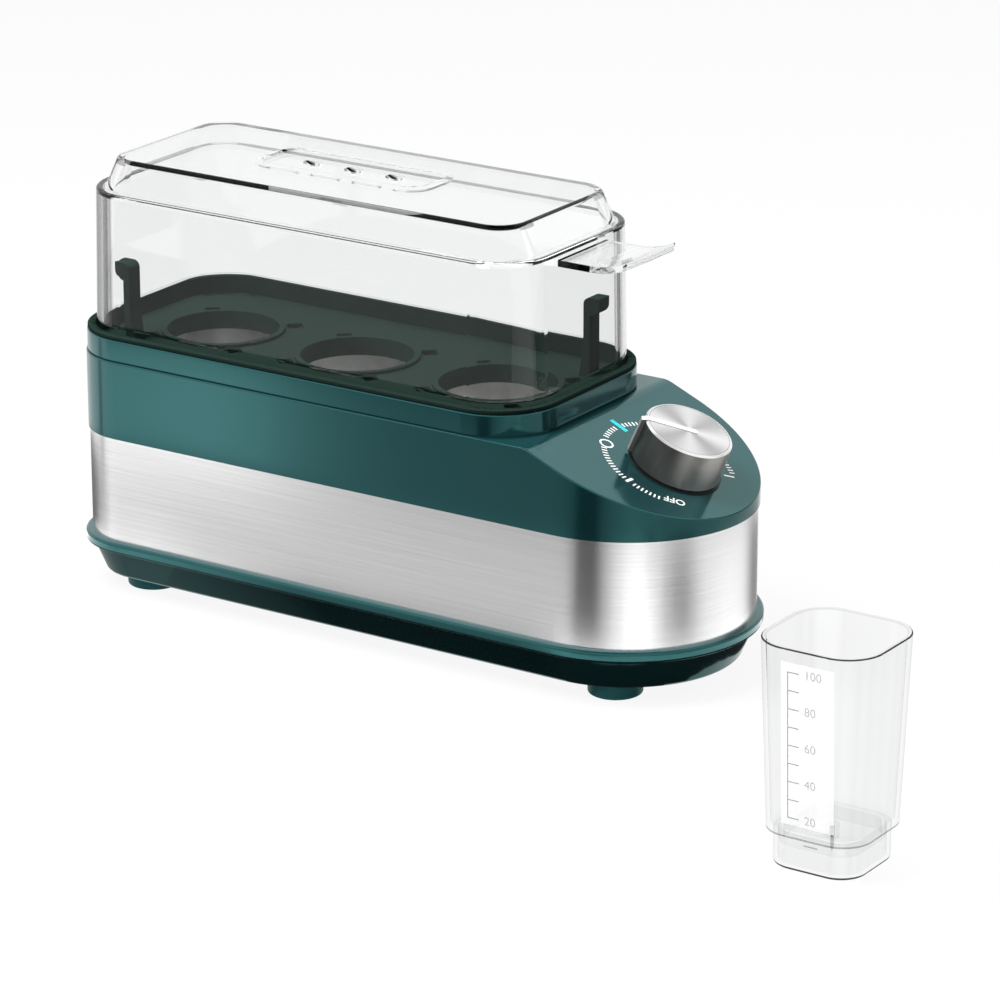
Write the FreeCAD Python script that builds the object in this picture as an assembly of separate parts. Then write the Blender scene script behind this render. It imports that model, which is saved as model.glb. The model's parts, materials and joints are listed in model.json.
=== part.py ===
"""A three-egg steam cooker with a clear lid, a lift-out egg tray, a timer dial and a measuring cup."""
import FreeCAD, Part
import math
import os

V = FreeCAD.Vector

# Frame: millimetres, Z up, origin on the worktop under the middle of the body, X towards the dial

# Eggs and chamber
EGG_COUNT = 3
EGG_PITCH = 51.0
EGG_END_ROOM = 34.0
EGG_SEAT_RADIUS = 17.5

# Body plan
NOSE_LENGTH = 52.0
BODY_WIDTH = 80.0
BACK_RADIUS = 21.0
FLANGE_REACH = 1.6
BAND_INSET = 0.5
BAND_SHEET = 0.6
BAND_CLEARANCE = 0.1
HOUSING_WALL = 2.0
RIM_INSET = 0.4

# Body heights, from the worktop upwards
FOOT_HEIGHT = 4.5
TUB_DEPTH = 9.7
FLANGE_THICKNESS = 3.4
BAND_HEIGHT = 33.7
SHOULDER_HEIGHT = 24.8
COLLAR_HEIGHT = 6.9
LID_WALL_HEIGHT = 51.0
LID_TIER_HEIGHT = 9.2

# Base tub and feet
TUB_TOP_INSET = 0.6
TUB_BOTTOM_INSET = 4.4
TUB_EDGE = 0.6
TUB_MOUTH_INSET = 3.4
TUB_WALL = 2.2
FLANGE_EDGE = 0.9
FOOT_RADIUS = 8.3
FOOT_EDGE = 0.8
FOOT_STUB_RADIUS = 3.0
FOOT_STUB_REACH = 1.2
FOOT_STUB_CLEARANCE = 0.05
FOOT_FROM_NOSE = 28.3
FOOT_FROM_BACK = 22.5
FOOT_FROM_SIDE = 16.4

# Screws that hold the base tub to the housing
BASE_SCREW_FROM_END = 51.0
BASE_SCREW_FROM_SIDE = 11.0
BASE_SCREW_RADIUS = 1.4
BASE_SCREW_HEAD_RADIUS = 2.8
BASE_SCREW_HEAD_HEIGHT = 2.0
BASE_SCREW_BITE = 11.0
SCREW_CLEARANCE = 0.05
BOSS_RADIUS = 3.8
BOSS_RISE = 12.0
POST_HEIGHT = 22.0
POST_RIB = 2.4
COUNTERBORE_DEPTH = 4.2

# Housing deck and sloping panel
PANEL_TILT = 22.8
PANEL_CREASE_RADIUS = 8.0
PANEL_THICKNESS = 2.4
HOUSING_EDGE = 0.4
DECK_STRIP = 4.3
DECK_STEP = 2.3
DECK_LEDGE = 2.2

# Chamber collar, gasket and water pan
COLLAR_WALL = 1.4
COLLAR_EDGE = 0.4
SEAM_GAP = 0.5
SEAM_DEPTH = 0.7
COLLAR_WEB = 1.4
COLLAR_OPENING_INSET = 11.0
COLLAR_FIT = 0.3
GASKET_THICKNESS = 0.8
PAN_FLANGE_INSET = 5.0
PAN_SHEET = 1.0
PAN_WALL_INSET = 9.6
PAN_DEPTH = 18.0
PAN_FLOOR = 1.2
PAN_DRAFT = 2.0
PAN_CLEARANCE = 0.4
COLLAR_BOSS_RADIUS = 2.6
COLLAR_BOSS_INSET = 7.4
COLLAR_BOSS_CLEARANCE = 0.3
COLLAR_SCREW_RADIUS = 1.2
COLLAR_SCREW_HEAD_RADIUS = 2.3
COLLAR_SCREW_HEAD_HEIGHT = 1.6
COLLAR_SCREW_COVER = 0.5

# Egg tray
TRAY_THICKNESS = 1.8
TRAY_RIM_FIT = 0.3
TRAY_RIM_WALL = 0.9
TRAY_EDGE_INSET = 0.2
TRAY_EDGE_THICKNESS = 1.4
TRAY_EDGE_ROUND = 0.4
SEAT_LIP_WALL = 1.8
SEAT_LIP_DEPTH = 3.0
SEAT_BEAD = 1.0
HOOK_HEIGHT = 25.0
HOOK_WIDTH = 5.6
HOOK_THICKNESS = 2.2
HOOK_LIP = 3.4
HOOK_LIP_NOSE = 2.6
HOOK_LIP_DROP = 5.4
HOOK_FROM_RIM = 12.0
HOOK_OFFSET = 23.5
HOOK_FOOT = 1.5
HOOK_FOOT_HEIGHT = 9.0
STEAM_SLOT_LENGTH = 5.0
STEAM_SLOT_WIDTH = 5.0
STEAM_SLOT_CORNER = 1.0
STEAM_SLOT_GAP = 0.8

# Lid
LID_WALL = 2.0
LID_CLEARANCE = 0.4
LID_DRAFT = 1.0
LID_LEDGE = 3.0
LID_TIER_SLOPE = 4.0
LID_SHOULDER_EDGE = 1.0
LID_TOP_EDGE = 1.6
LID_FLANGE_REACH = 1.6
LID_FLANGE_THICKNESS = 1.2
LID_FLANGE_EDGE = 0.4
RECESS_LENGTH = 60.0
RECESS_WIDTH = 20.0
RECESS_RADIUS = 6.0
RECESS_DEPTH = 0.8
RECESS_SHIFT_X = -4.0
RECESS_SHIFT_Y = 4.0
STEAM_HOLE_RADIUS = 3.0
STEAM_HOLE_PITCH = 15.3
STEAM_HOLE_COUNT = 3
TAB_REACH = 24.6
TAB_WIDTH = 26.4
TAB_THICKNESS = 2.0
TAB_CURL = 3.2
TAB_CORNER = 3.6
TAB_BELOW_SHOULDER = 2.5

# Heater under the pan
HEATER_RADIUS = 3.25
HEATER_FLAT = 0.5
HEATER_SPREAD = 20.0
HEATER_FROM_BACK = 44.0
HEATER_FROM_FRONT = 28.0
BUSH_LENGTH = 5.0
PIN_RADIUS = 1.1
PIN_LENGTH = 8.0

# Thermostat and thermal fuse under the pan
THERMOSTAT_RADIUS = 8.0
THERMOSTAT_HEIGHT = 7.0
THERMOSTAT_PIN_OFFSET = 6.0
THERMOSTAT_PIN_LENGTH = 7.0
THERMOSTAT_PIN_RADIUS = 0.9
STUD_SPACING = 26.0
STUD_RADIUS = 1.5
BRACKET_SHEET = 0.8
BRACKET_WIDTH = 8.0
BRACKET_END = 4.0
NUT_RADIUS = 3.0
NUT_HEIGHT = 2.4
STUD_TAIL = 1.0
FUSE_RADIUS = 2.6
FUSE_LENGTH = 14.0
FUSE_OFFSET_X = 35.0
FUSE_OFFSET_Y = 10.0
FUSE_WIRE_RADIUS = 0.6
FUSE_WIRE_LENGTH = 4.0
CLIP_SHEET = 0.6
CLIP_WIDTH = 7.0
CLIP_TAB = 3.5
CLIP_CLEARANCE = 0.1

# Timer and dial, along the panel's own axis
KNOB_BACKSET = 23.2
KNOB_BASE_RADIUS = 13.9
KNOB_TOP_RADIUS = 13.5
KNOB_HEIGHT = 12.9
KNOB_CHAMFER = 0.5
KNOB_SKIN = 1.2
KNOB_GAP = 0.3
KNOB_FIT = 0.05
POINTER_ANGLE = -143.4
POINTER_WIDTH = 2.1
POINTER_RISE = 1.2
POINTER_INLAY = 0.6
POINTER_PROUD = 0.1
POINTER_PAST = 2.5
POINTER_FOOT_GAP = 0.4
WASHER_RADIUS = 14.5
WASHER_THICKNESS = 0.5
PANEL_HOLE_RADIUS = 4.5
SHAFT_RADIUS = 3.0
SHAFT_FLAT = 0.8
SHAFT_CLEARANCE = 0.05
SHAFT_IN_KNOB = 8.5
TIMER_RADIUS = 17.0
TIMER_DEPTH = 18.0
TIMER_WALL = 1.5
TIMER_EAR_RADIUS = 3.4
TIMER_EAR_OFFSET = 19.5
TIMER_EAR_THICKNESS = 1.8
TIMER_BOSS_LENGTH = 4.0
TIMER_SCREW_RADIUS = 1.2
TIMER_SCREW_HEAD_RADIUS = 2.4
TIMER_SCREW_HEAD_HEIGHT = 1.6
TIMER_SCREW_BITE = 3.4
CAM_RADIUS = 9.0
CAM_THICKNESS = 3.0
CAM_NOTCH = 2.4
CAM_END_GAP = 4.0
CONTACT_OFFSET = 6.0
CONTACT_WIDTH = 4.0
CONTACT_SHEET = 1.0
CONTACT_GAP = 1.5
CONTACT_TAIL = 5.0

# Terminal block, cord inlet and leads
BLOCK_FROM_BACK = 41.0
BLOCK_LENGTH = 14.0
BLOCK_WIDTH = 26.0
BLOCK_HEIGHT = 12.0
BLOCK_WAY_SPACING = 6.0
BLOCK_SCREW_RADIUS = 1.6
BLOCK_SCREW_DEPTH = 4.0
INLET_HEIGHT = 30.0
INLET_BORE_RADIUS = 3.6
INLET_NECK_RADIUS = 5.4
INLET_FLANGE_RADIUS = 7.6
INLET_FLANGE = 1.8
INLET_CLEARANCE = 0.05
LEAD_RADIUS = 1.2
LEAD_BEND = 4.0
LEAD_FLOOR_RISE = 6.0
LEAD_UPPER_DROP = 14.0
LEAD_MIDDLE_DROP = 8.0
LEAD_TURN_ROOM = 8.0

# Measuring cup, standing beside the cooker
CUP_X = 198.0
CUP_Y = -96.5
CUP_RIM_SIDE = 35.6
CUP_LOW_SIDE = 31.2
CUP_RIM_RADIUS = 11.0
CUP_LOW_RADIUS = 9.0
CUP_BODY_HEIGHT = 54.8
CUP_WALL = 1.3
CUP_FLOOR = 1.6
CUP_RIM_EDGE = 0.5
CAP_HEIGHT = 10.2
CAP_SIDE = 27.6
CAP_RADIUS = 8.0
CAP_WALL = 1.2
CAP_EDGE = 1.0
CAP_CLEARANCE = 0.3
CAP_SEAM = 0.06
SPIGOT_DEPTH = 4.0
SPIGOT_WALL = 1.2
PIN_HOLDER_RADIUS = 1.9
PIN_HOLDER_LENGTH = 4.0
NEEDLE_RADIUS = 0.5
NEEDLE_LENGTH = 7.4
NEEDLE_POINT = 2.0
NEEDLE_GRIP = 3.0

# Derived places in the plan
CHAMBER_LENGTH = (EGG_COUNT - 1) * EGG_PITCH + 2 * EGG_END_ROOM
BODY_LENGTH = CHAMBER_LENGTH + NOSE_LENGTH
HALF_WIDTH = BODY_WIDTH / 2
BACK_X = -BODY_LENGTH / 2
NOSE_X = BODY_LENGTH / 2
NOSE_CENTRE_X = NOSE_X - HALF_WIDTH
RIM_BACK_X = BACK_X + RIM_INSET
RIM_FRONT_X = BACK_X + CHAMBER_LENGTH
RIM_HALF_WIDTH = HALF_WIDTH - RIM_INSET
CHAMBER_X = (RIM_BACK_X + RIM_FRONT_X) / 2
SKIRT_INSET = BAND_INSET + BAND_SHEET + BAND_CLEARANCE
INNER_INSET = SKIRT_INSET + HOUSING_WALL

# Derived heights
TUB_BOTTOM = FOOT_HEIGHT
TUB_FLOOR = TUB_BOTTOM + TUB_WALL
FLANGE_BOTTOM = TUB_BOTTOM + TUB_DEPTH
FLANGE_TOP = FLANGE_BOTTOM + FLANGE_THICKNESS
BAND_TOP = FLANGE_TOP + BAND_HEIGHT
DECK = BAND_TOP + SHOULDER_HEIGHT
RIM_TOP = DECK + COLLAR_HEIGHT
LEDGE = DECK - DECK_STEP
PAN_FLANGE_TOP = LEDGE + PAN_SHEET
WEB_BOTTOM = PAN_FLANGE_TOP + GASKET_THICKNESS
SEAT = WEB_BOTTOM + COLLAR_WEB
TRAY_TOP = SEAT + TRAY_THICKNESS
TRAY_EDGE_TOP = RIM_TOP + TRAY_EDGE_THICKNESS
LID_SHOULDER = SEAT + LID_WALL_HEIGHT
LID_TOP = LID_SHOULDER + LID_TIER_HEIGHT
PAN_FLOOR_TOP = LEDGE - PAN_DEPTH
PAN_UNDERSIDE = PAN_FLOOR_TOP - PAN_FLOOR

# Derived insets from the rim
TRAY_INSET = COLLAR_WALL + TRAY_RIM_FIT
LID_INSET = TRAY_INSET + TRAY_RIM_WALL + LID_CLEARANCE

# Derived panel and dial axis
TILT = math.radians(PANEL_TILT)
PANEL_TOP_X = RIM_FRONT_X + PANEL_CREASE_RADIUS * math.tan(TILT / 2)
KNOB_X = NOSE_X - KNOB_BACKSET
KNOB_Z = DECK - (KNOB_X - PANEL_TOP_X) * math.tan(TILT)
PANEL_NORMAL = V(math.sin(TILT), 0, math.cos(TILT))
DIAL_PLACE = FreeCAD.Placement(V(KNOB_X, 0, KNOB_Z), FreeCAD.Rotation(V(0, 1, 0), PANEL_TILT))

# Derived wiring places
BLOCK_X = BACK_X + BLOCK_FROM_BACK
HEATER_AXIS_Z = PAN_UNDERSIDE - HEATER_RADIUS + HEATER_FLAT
HEATER_BACK_X = RIM_BACK_X + HEATER_FROM_BACK
HEATER_FRONT_X = RIM_FRONT_X - HEATER_FROM_FRONT
HEATER_PIN_END_X = HEATER_FRONT_X + BUSH_LENGTH + PIN_LENGTH
FUSE_X = CHAMBER_X + FUSE_OFFSET_X
FUSE_Z = PAN_UNDERSIDE - FUSE_RADIUS - CLIP_CLEARANCE
CONTACT_TIP_W = -PANEL_THICKNESS - TIMER_DEPTH - TIMER_WALL - CONTACT_TAIL
LEAD_FLOOR_Z = TUB_FLOOR + LEAD_FLOOR_RISE
LONG = 4 * BODY_LENGTH
CUP_FLOOR_BOTTOM = CAP_HEIGHT + CAP_SEAM
CUP_TOP = CUP_FLOOR_BOTTOM + CUP_BODY_HEIGHT


def arc(start, middle, end):
    """One arc edge through three points."""
    return Part.Arc(start, middle, end).toShape()


def line(start, end):
    """One straight edge."""
    return Part.makeLine(start, end)


def corner(cx, cy, radius, start_degrees, z):
    """A quarter-circle edge, anticlockwise from the start angle."""
    points = []
    for step in (0, 45, 90):
        angle = math.radians(start_degrees + step)
        points.append(V(cx + radius * math.cos(angle), cy + radius * math.sin(angle), z))
    return arc(*points)


def body_outline(offset, z):
    """The body's plan: round back corners and a semicircular nose, grown by an offset."""
    half = HALF_WIDTH + offset
    back = BACK_X - offset
    radius = max(BACK_RADIUS + offset, 1.0)
    straight = half - radius
    edges = [
        line(V(back + radius, -half, z), V(NOSE_CENTRE_X, -half, z)),
        arc(V(NOSE_CENTRE_X, -half, z), V(NOSE_CENTRE_X + half, 0, z), V(NOSE_CENTRE_X, half, z)),
        line(V(NOSE_CENTRE_X, half, z), V(back + radius, half, z)),
        corner(back + radius, straight, radius, 90, z),
        line(V(back, straight, z), V(back, -straight, z)),
        corner(back + radius, -straight, radius, 180, z),
    ]
    return Part.Wire(edges)


def rounded_outline(centre_x, centre_y, length, width, radius, z):
    """A rounded rectangle in the plan."""
    x0 = centre_x - length / 2
    x1 = centre_x + length / 2
    y0 = centre_y - width / 2
    y1 = centre_y + width / 2
    r = radius
    edges = [
        line(V(x0 + r, y0, z), V(x1 - r, y0, z)),
        corner(x1 - r, y0 + r, r, 270, z),
        line(V(x1, y0 + r, z), V(x1, y1 - r, z)),
        corner(x1 - r, y1 - r, r, 0, z),
        line(V(x1 - r, y1, z), V(x0 + r, y1, z)),
        corner(x0 + r, y1 - r, r, 90, z),
        line(V(x0, y1 - r, z), V(x0, y0 + r, z)),
        corner(x0 + r, y0 + r, r, 180, z),
    ]
    return Part.Wire(edges)


def rim_outline(inset, z):
    """The chamber rim's rounded rectangle, shrunk by an inset."""
    length = RIM_FRONT_X - RIM_BACK_X - 2 * inset
    width = 2 * (RIM_HALF_WIDTH - inset)
    radius = max(BACK_RADIUS - RIM_INSET - inset, 2.0)
    return rounded_outline(CHAMBER_X, 0, length, width, radius, z)


def prism(outline, height):
    """A flat outline pulled up by a height."""
    return Part.Face(outline).extrude(V(0, 0, height))


def loft(outlines):
    """A straight-sided solid through stacked outlines."""
    return Part.makeLoft(outlines, True, True)


def cylinder(radius, z0, z1, x=0.0, y=0.0):
    """An upright cylinder between two heights."""
    return Part.makeCylinder(radius, z1 - z0, V(x, y, z0), V(0, 0, 1))


def ring(outer, inner, z0, z1, x=0.0, y=0.0):
    """An upright tube between two heights."""
    return cylinder(outer, z0, z1, x, y).cut(cylinder(inner, z0 - 1, z1 + 1, x, y))


def box(x0, x1, y0, y1, z0, z1):
    """A box from its lowest and highest corners."""
    return Part.makeBox(x1 - x0, y1 - y0, z1 - z0, V(x0, y0, z0))


def level_edges(shape, z):
    """The edges of a shape that lie flat at one height."""
    return [e for e in shape.Edges if abs(e.BoundBox.ZMin - z) < 1e-4 and abs(e.BoundBox.ZMax - z) < 1e-4]


def rounded_at(shape, radius, *heights):
    """A shape with its level edges at the given heights rounded."""
    edges = []
    for z in heights:
        edges.extend(level_edges(shape, z))
    return shape.makeFillet(radius, edges)


def on_dial(shape):
    """A shape made upright about the origin, set on the dial's tilted axis."""
    shape.Placement = DIAL_PLACE.multiply(shape.Placement)
    return shape


def dial_point(u, v, w):
    """A point given down the panel's slope, across it and out of it."""
    return DIAL_PLACE.multVec(V(u, v, w))


def export(name, shape):
    """Write one named piece."""
    shape.exportStep("parts/" + name + ".step")


def foot_places():
    """Plan positions of the four feet, with a name for each."""
    front = NOSE_X - FOOT_FROM_NOSE
    back = BACK_X + FOOT_FROM_BACK
    y = HALF_WIDTH - FOOT_FROM_SIDE
    return {
        "front_left": (front, y),
        "front_right": (front, -y),
        "back_left": (back, y),
        "back_right": (back, -y),
    }


def base_screw_places():
    """Plan positions of the four screws through the base tub."""
    x = BODY_LENGTH / 2 - BASE_SCREW_FROM_END
    y = HALF_WIDTH - BASE_SCREW_FROM_SIDE
    return [(x, y), (x, -y), (-x, y), (-x, -y)]


def collar_screw_places():
    """Plan positions of the six screws that draw the collar down on the pan."""
    x = (RIM_FRONT_X - RIM_BACK_X) / 2 - BACK_RADIUS
    y = RIM_HALF_WIDTH - COLLAR_BOSS_INSET
    return [(CHAMBER_X + sx * x, sy * y) for sx in (-1, 0, 1) for sy in (-1, 1)]


def egg_places():
    """X positions of the egg seats."""
    first = CHAMBER_X - EGG_PITCH * (EGG_COUNT - 1) / 2
    return [first + EGG_PITCH * i for i in range(EGG_COUNT)]


def base_tub():
    """The shallow moulded tub with its projecting flange and screw bosses."""
    outer = loft([
        body_outline(-TUB_BOTTOM_INSET - TUB_EDGE, TUB_BOTTOM),
        body_outline(-TUB_BOTTOM_INSET, TUB_BOTTOM + TUB_EDGE),
        body_outline(-TUB_TOP_INSET, FLANGE_BOTTOM),
    ])
    flange = rounded_at(prism(body_outline(FLANGE_REACH, FLANGE_BOTTOM), FLANGE_THICKNESS),
                        FLANGE_EDGE, FLANGE_BOTTOM, FLANGE_TOP)
    hollow = loft([
        body_outline(-TUB_BOTTOM_INSET - TUB_WALL, TUB_FLOOR),
        body_outline(-TUB_MOUTH_INSET, FLANGE_TOP),
    ])
    tub = outer.fuse(flange).cut(hollow)
    for x, y in base_screw_places():
        tub = tub.fuse(cylinder(BOSS_RADIUS, TUB_BOTTOM + 1, TUB_FLOOR + BOSS_RISE, x, y))
    for x, y in base_screw_places():
        tub = tub.cut(cylinder(BASE_SCREW_RADIUS + SCREW_CLEARANCE, 0, RIM_TOP, x, y))
        bore = BASE_SCREW_HEAD_RADIUS + 2 * SCREW_CLEARANCE
        tub = tub.cut(cylinder(bore, 0, TUB_BOTTOM + COUNTERBORE_DEPTH, x, y))
    for x, y in foot_places().values():
        hole_top = TUB_FLOOR + 2 * FOOT_STUB_REACH
        tub = tub.cut(cylinder(FOOT_STUB_RADIUS + FOOT_STUB_CLEARANCE, 0, hole_top, x, y))
    return tub.removeSplitter()


def foot(x, y):
    """One rubber foot with the stub that plugs into the tub's floor."""
    pad = cylinder(FOOT_RADIUS, 0, FOOT_HEIGHT, x, y)
    pad = rounded_at(pad, FOOT_EDGE, 0)
    return pad.fuse(cylinder(FOOT_STUB_RADIUS, FOOT_HEIGHT, TUB_FLOOR + FOOT_STUB_REACH, x, y))


def base_screws():
    """The four screws that hold the tub to the housing."""
    screws = []
    head_top = TUB_BOTTOM + COUNTERBORE_DEPTH
    for x, y in base_screw_places():
        head = cylinder(BASE_SCREW_HEAD_RADIUS, head_top - BASE_SCREW_HEAD_HEIGHT, head_top, x, y)
        shank = cylinder(BASE_SCREW_RADIUS, head_top, TUB_FLOOR + BOSS_RISE + BASE_SCREW_BITE, x, y)
        screws.append(head.fuse(shank))
    return Part.makeCompound(screws)


def inlet_bore(radius):
    """A bore through the back walls for the cord inlet."""
    start = V(BACK_X - INNER_INSET, 0, INLET_HEIGHT)
    return Part.makeCylinder(radius, 2 * INNER_INSET + BACK_RADIUS, start, V(1, 0, 0))


def steel_band():
    """The thin steel sheet wrapped round the housing's skirt."""
    outer = prism(body_outline(-BAND_INSET, FLANGE_TOP), BAND_HEIGHT)
    inner = prism(body_outline(-BAND_INSET - BAND_SHEET, FLANGE_TOP), BAND_HEIGHT)
    return outer.cut(inner).cut(inlet_bore(INLET_NECK_RADIUS + INLET_CLEARANCE))


def above_top():
    """Everything above the housing's deck and sloping panel."""
    tangent = PANEL_CREASE_RADIUS * math.tan(TILT / 2)
    half = TILT / 2
    start = V(PANEL_TOP_X - tangent, -LONG, DECK)
    centre = V(PANEL_TOP_X - tangent, -LONG, DECK - PANEL_CREASE_RADIUS)
    middle = centre + V(math.sin(half), 0, math.cos(half)) * PANEL_CREASE_RADIUS
    end = centre + V(math.sin(TILT), 0, math.cos(TILT)) * PANEL_CREASE_RADIUS
    far = end + V(math.cos(TILT), 0, -math.sin(TILT)) * BODY_LENGTH
    high = V(far.x, -LONG, DECK + LONG)
    back = V(-LONG, -LONG, DECK + LONG)
    low = V(-LONG, -LONG, DECK)
    edges = [line(low, start), arc(start, middle, end), line(end, far)]
    edges += [line(far, high), line(high, back), line(back, low)]
    return Part.Face(Part.Wire(edges)).extrude(V(0, 2 * LONG, 0))


def above_ceiling():
    """Everything above the housing's inner ceiling, under the deck's ledge and the panel."""
    ceiling = LEDGE - DECK_LEDGE
    drop = PANEL_THICKNESS / math.cos(TILT)
    meet = PANEL_TOP_X + (DECK - drop - ceiling) / math.tan(TILT)
    far = meet + BODY_LENGTH
    points = [
        V(-LONG, -LONG, ceiling),
        V(meet, -LONG, ceiling),
        V(far, -LONG, ceiling - BODY_LENGTH * math.tan(TILT)),
        V(far, -LONG, DECK + LONG),
        V(-LONG, -LONG, DECK + LONG),
        V(-LONG, -LONG, ceiling),
    ]
    return Part.Face(Part.makePolygon(points)).extrude(V(0, 2 * LONG, 0))


def top_rim_edges(shape):
    """The edges round the housing's deck and panel, without the bottom and the walls."""
    found = []
    for edge in shape.Edges:
        middle = edge.valueAt((edge.FirstParameter + edge.LastParameter) / 2)
        upright = edge.BoundBox.XLength < 1e-4 and edge.BoundBox.YLength < 1e-4
        across = edge.BoundBox.XLength < 1e-4 and edge.BoundBox.ZLength < 1e-4 and middle.x > BACK_X + 1
        if middle.z > BAND_TOP + 1 and not upright and not across:
            found.append(edge)
    return found


def upper_housing():
    """The moulded housing: skirt behind the band, shoulder, deck and sloping dial panel."""
    shoulder = prism(body_outline(0, BAND_TOP), SHOULDER_HEIGHT + COLLAR_HEIGHT).cut(above_top())
    shoulder = shoulder.makeFillet(HOUSING_EDGE, top_rim_edges(shoulder))
    skirt = prism(body_outline(-SKIRT_INSET, FLANGE_TOP), BAND_HEIGHT)
    hollow = prism(body_outline(-INNER_INSET, FLANGE_TOP), RIM_TOP - FLANGE_TOP).cut(above_ceiling())
    housing = shoulder.fuse(skirt).cut(hollow)
    housing = housing.cut(prism(rim_outline(DECK_STRIP, LEDGE), COLLAR_HEIGHT + DECK_STEP))
    opening = PAN_WALL_INSET - PAN_CLEARANCE
    housing = housing.cut(prism(rim_outline(opening, LEDGE - 2 * DECK_LEDGE), COLLAR_HEIGHT + 4 * DECK_LEDGE))
    wall = HALF_WIDTH - INNER_INSET
    foot_z = TUB_FLOOR + BOSS_RISE
    for x, y in base_screw_places():
        post = cylinder(BOSS_RADIUS, foot_z, foot_z + POST_HEIGHT, x, y)
        side = math.copysign(1.0, y)
        near, far = sorted((y, side * (wall + HOUSING_WALL / 2)))
        rib = box(x - POST_RIB / 2, x + POST_RIB / 2, near, far, foot_z, foot_z + POST_HEIGHT)
        housing = housing.fuse(post).fuse(rib)
    for x, y in base_screw_places():
        housing = housing.cut(cylinder(BASE_SCREW_RADIUS + SCREW_CLEARANCE, foot_z - 1,
                                       foot_z + BASE_SCREW_BITE + 1, x, y))
    for x, y in collar_screw_places():
        housing = housing.cut(cylinder(COLLAR_SCREW_RADIUS + SCREW_CLEARANCE, BAND_TOP, RIM_TOP, x, y))
    for side in (-1, 1):
        boss = cylinder(TIMER_EAR_RADIUS, -PANEL_THICKNESS - TIMER_BOSS_LENGTH, -PANEL_THICKNESS / 2,
                        0, side * TIMER_EAR_OFFSET)
        housing = housing.fuse(on_dial(boss))
    for side in (-1, 1):
        depth = PANEL_THICKNESS + TIMER_BOSS_LENGTH
        bottom = -depth + TIMER_SCREW_BITE + SCREW_CLEARANCE
        pilot = cylinder(TIMER_SCREW_RADIUS + SCREW_CLEARANCE, -depth - 1, bottom, 0, side * TIMER_EAR_OFFSET)
        housing = housing.cut(on_dial(pilot))
    housing = housing.cut(on_dial(cylinder(PANEL_HOLE_RADIUS, -2 * PANEL_THICKNESS, 2 * PANEL_THICKNESS)))
    housing = housing.cut(inlet_bore(INLET_NECK_RADIUS + INLET_CLEARANCE))
    return housing.removeSplitter()


def chamber_collar():
    """The collar on the deck: an upright rim over a shadow gap, the tray's seat, and screw bosses below."""
    outer = rounded_at(prism(rim_outline(0, DECK), COLLAR_HEIGHT), COLLAR_EDGE, RIM_TOP)
    gap = prism(rim_outline(-1, DECK), SEAM_GAP).cut(prism(rim_outline(SEAM_DEPTH, DECK), SEAM_GAP))
    collar = outer.cut(gap).cut(prism(rim_outline(COLLAR_WALL, SEAT), COLLAR_HEIGHT))
    web = prism(rim_outline(DECK_STRIP + COLLAR_FIT, WEB_BOTTOM), COLLAR_WEB)
    collar = collar.fuse(web)
    for x, y in collar_screw_places():
        collar = collar.fuse(cylinder(COLLAR_BOSS_RADIUS, LEDGE, WEB_BOTTOM, x, y))
    collar = collar.cut(prism(rim_outline(COLLAR_OPENING_INSET, LEDGE), 2 * COLLAR_HEIGHT))
    for x, y in collar_screw_places():
        pilot = cylinder(COLLAR_SCREW_RADIUS + SCREW_CLEARANCE, LEDGE - 1, SEAT - COLLAR_SCREW_COVER, x, y)
        collar = collar.cut(pilot)
    return collar.removeSplitter()


def collar_screws():
    """The six screws from under the deck into the collar."""
    screws = []
    ceiling = LEDGE - DECK_LEDGE
    for x, y in collar_screw_places():
        head = cylinder(COLLAR_SCREW_HEAD_RADIUS, ceiling - COLLAR_SCREW_HEAD_HEIGHT, ceiling, x, y)
        shank = cylinder(COLLAR_SCREW_RADIUS, ceiling, SEAT - 2 * COLLAR_SCREW_COVER, x, y)
        screws.append(head.fuse(shank))
    return Part.makeCompound(screws)


def boss_holes(z0, z1):
    """Clearance holes for the collar's screw bosses."""
    radius = COLLAR_BOSS_RADIUS + COLLAR_BOSS_CLEARANCE
    return [cylinder(radius, z0, z1, x, y) for x, y in collar_screw_places()]


def pan_gasket():
    """The flat silicone gasket between the collar and the pan's flange."""
    gasket = prism(rim_outline(PAN_FLANGE_INSET, PAN_FLANGE_TOP), GASKET_THICKNESS)
    gasket = gasket.cut(prism(rim_outline(COLLAR_OPENING_INSET, PAN_FLANGE_TOP), GASKET_THICKNESS))
    for hole in boss_holes(LEDGE, SEAT):
        gasket = gasket.cut(hole)
    return gasket


def water_pan():
    """The pressed aluminium pan with two welded studs under its floor."""
    flange = prism(rim_outline(PAN_FLANGE_INSET, LEDGE), PAN_SHEET)
    bowl = loft([
        rim_outline(PAN_WALL_INSET + PAN_DRAFT, PAN_UNDERSIDE),
        rim_outline(PAN_WALL_INSET, LEDGE),
    ])
    hollow = loft([
        rim_outline(PAN_WALL_INSET + PAN_DRAFT + PAN_SHEET, PAN_FLOOR_TOP),
        rim_outline(PAN_WALL_INSET + PAN_SHEET, PAN_FLANGE_TOP),
    ])
    pan = flange.fuse(bowl).cut(hollow)
    for hole in boss_holes(LEDGE - 1, SEAT):
        pan = pan.cut(hole)
    for x in stud_places():
        pan = pan.fuse(cylinder(STUD_RADIUS, stud_end(), PAN_UNDERSIDE, x, 0))
    return pan


def stud_places():
    """X positions of the studs that carry the thermostat's bracket."""
    return (CHAMBER_X - STUD_SPACING / 2, CHAMBER_X + STUD_SPACING / 2)


def stud_end():
    """The height of the studs' lower ends."""
    return PAN_UNDERSIDE - THERMOSTAT_HEIGHT - BRACKET_SHEET - NUT_HEIGHT - STUD_TAIL


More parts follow.
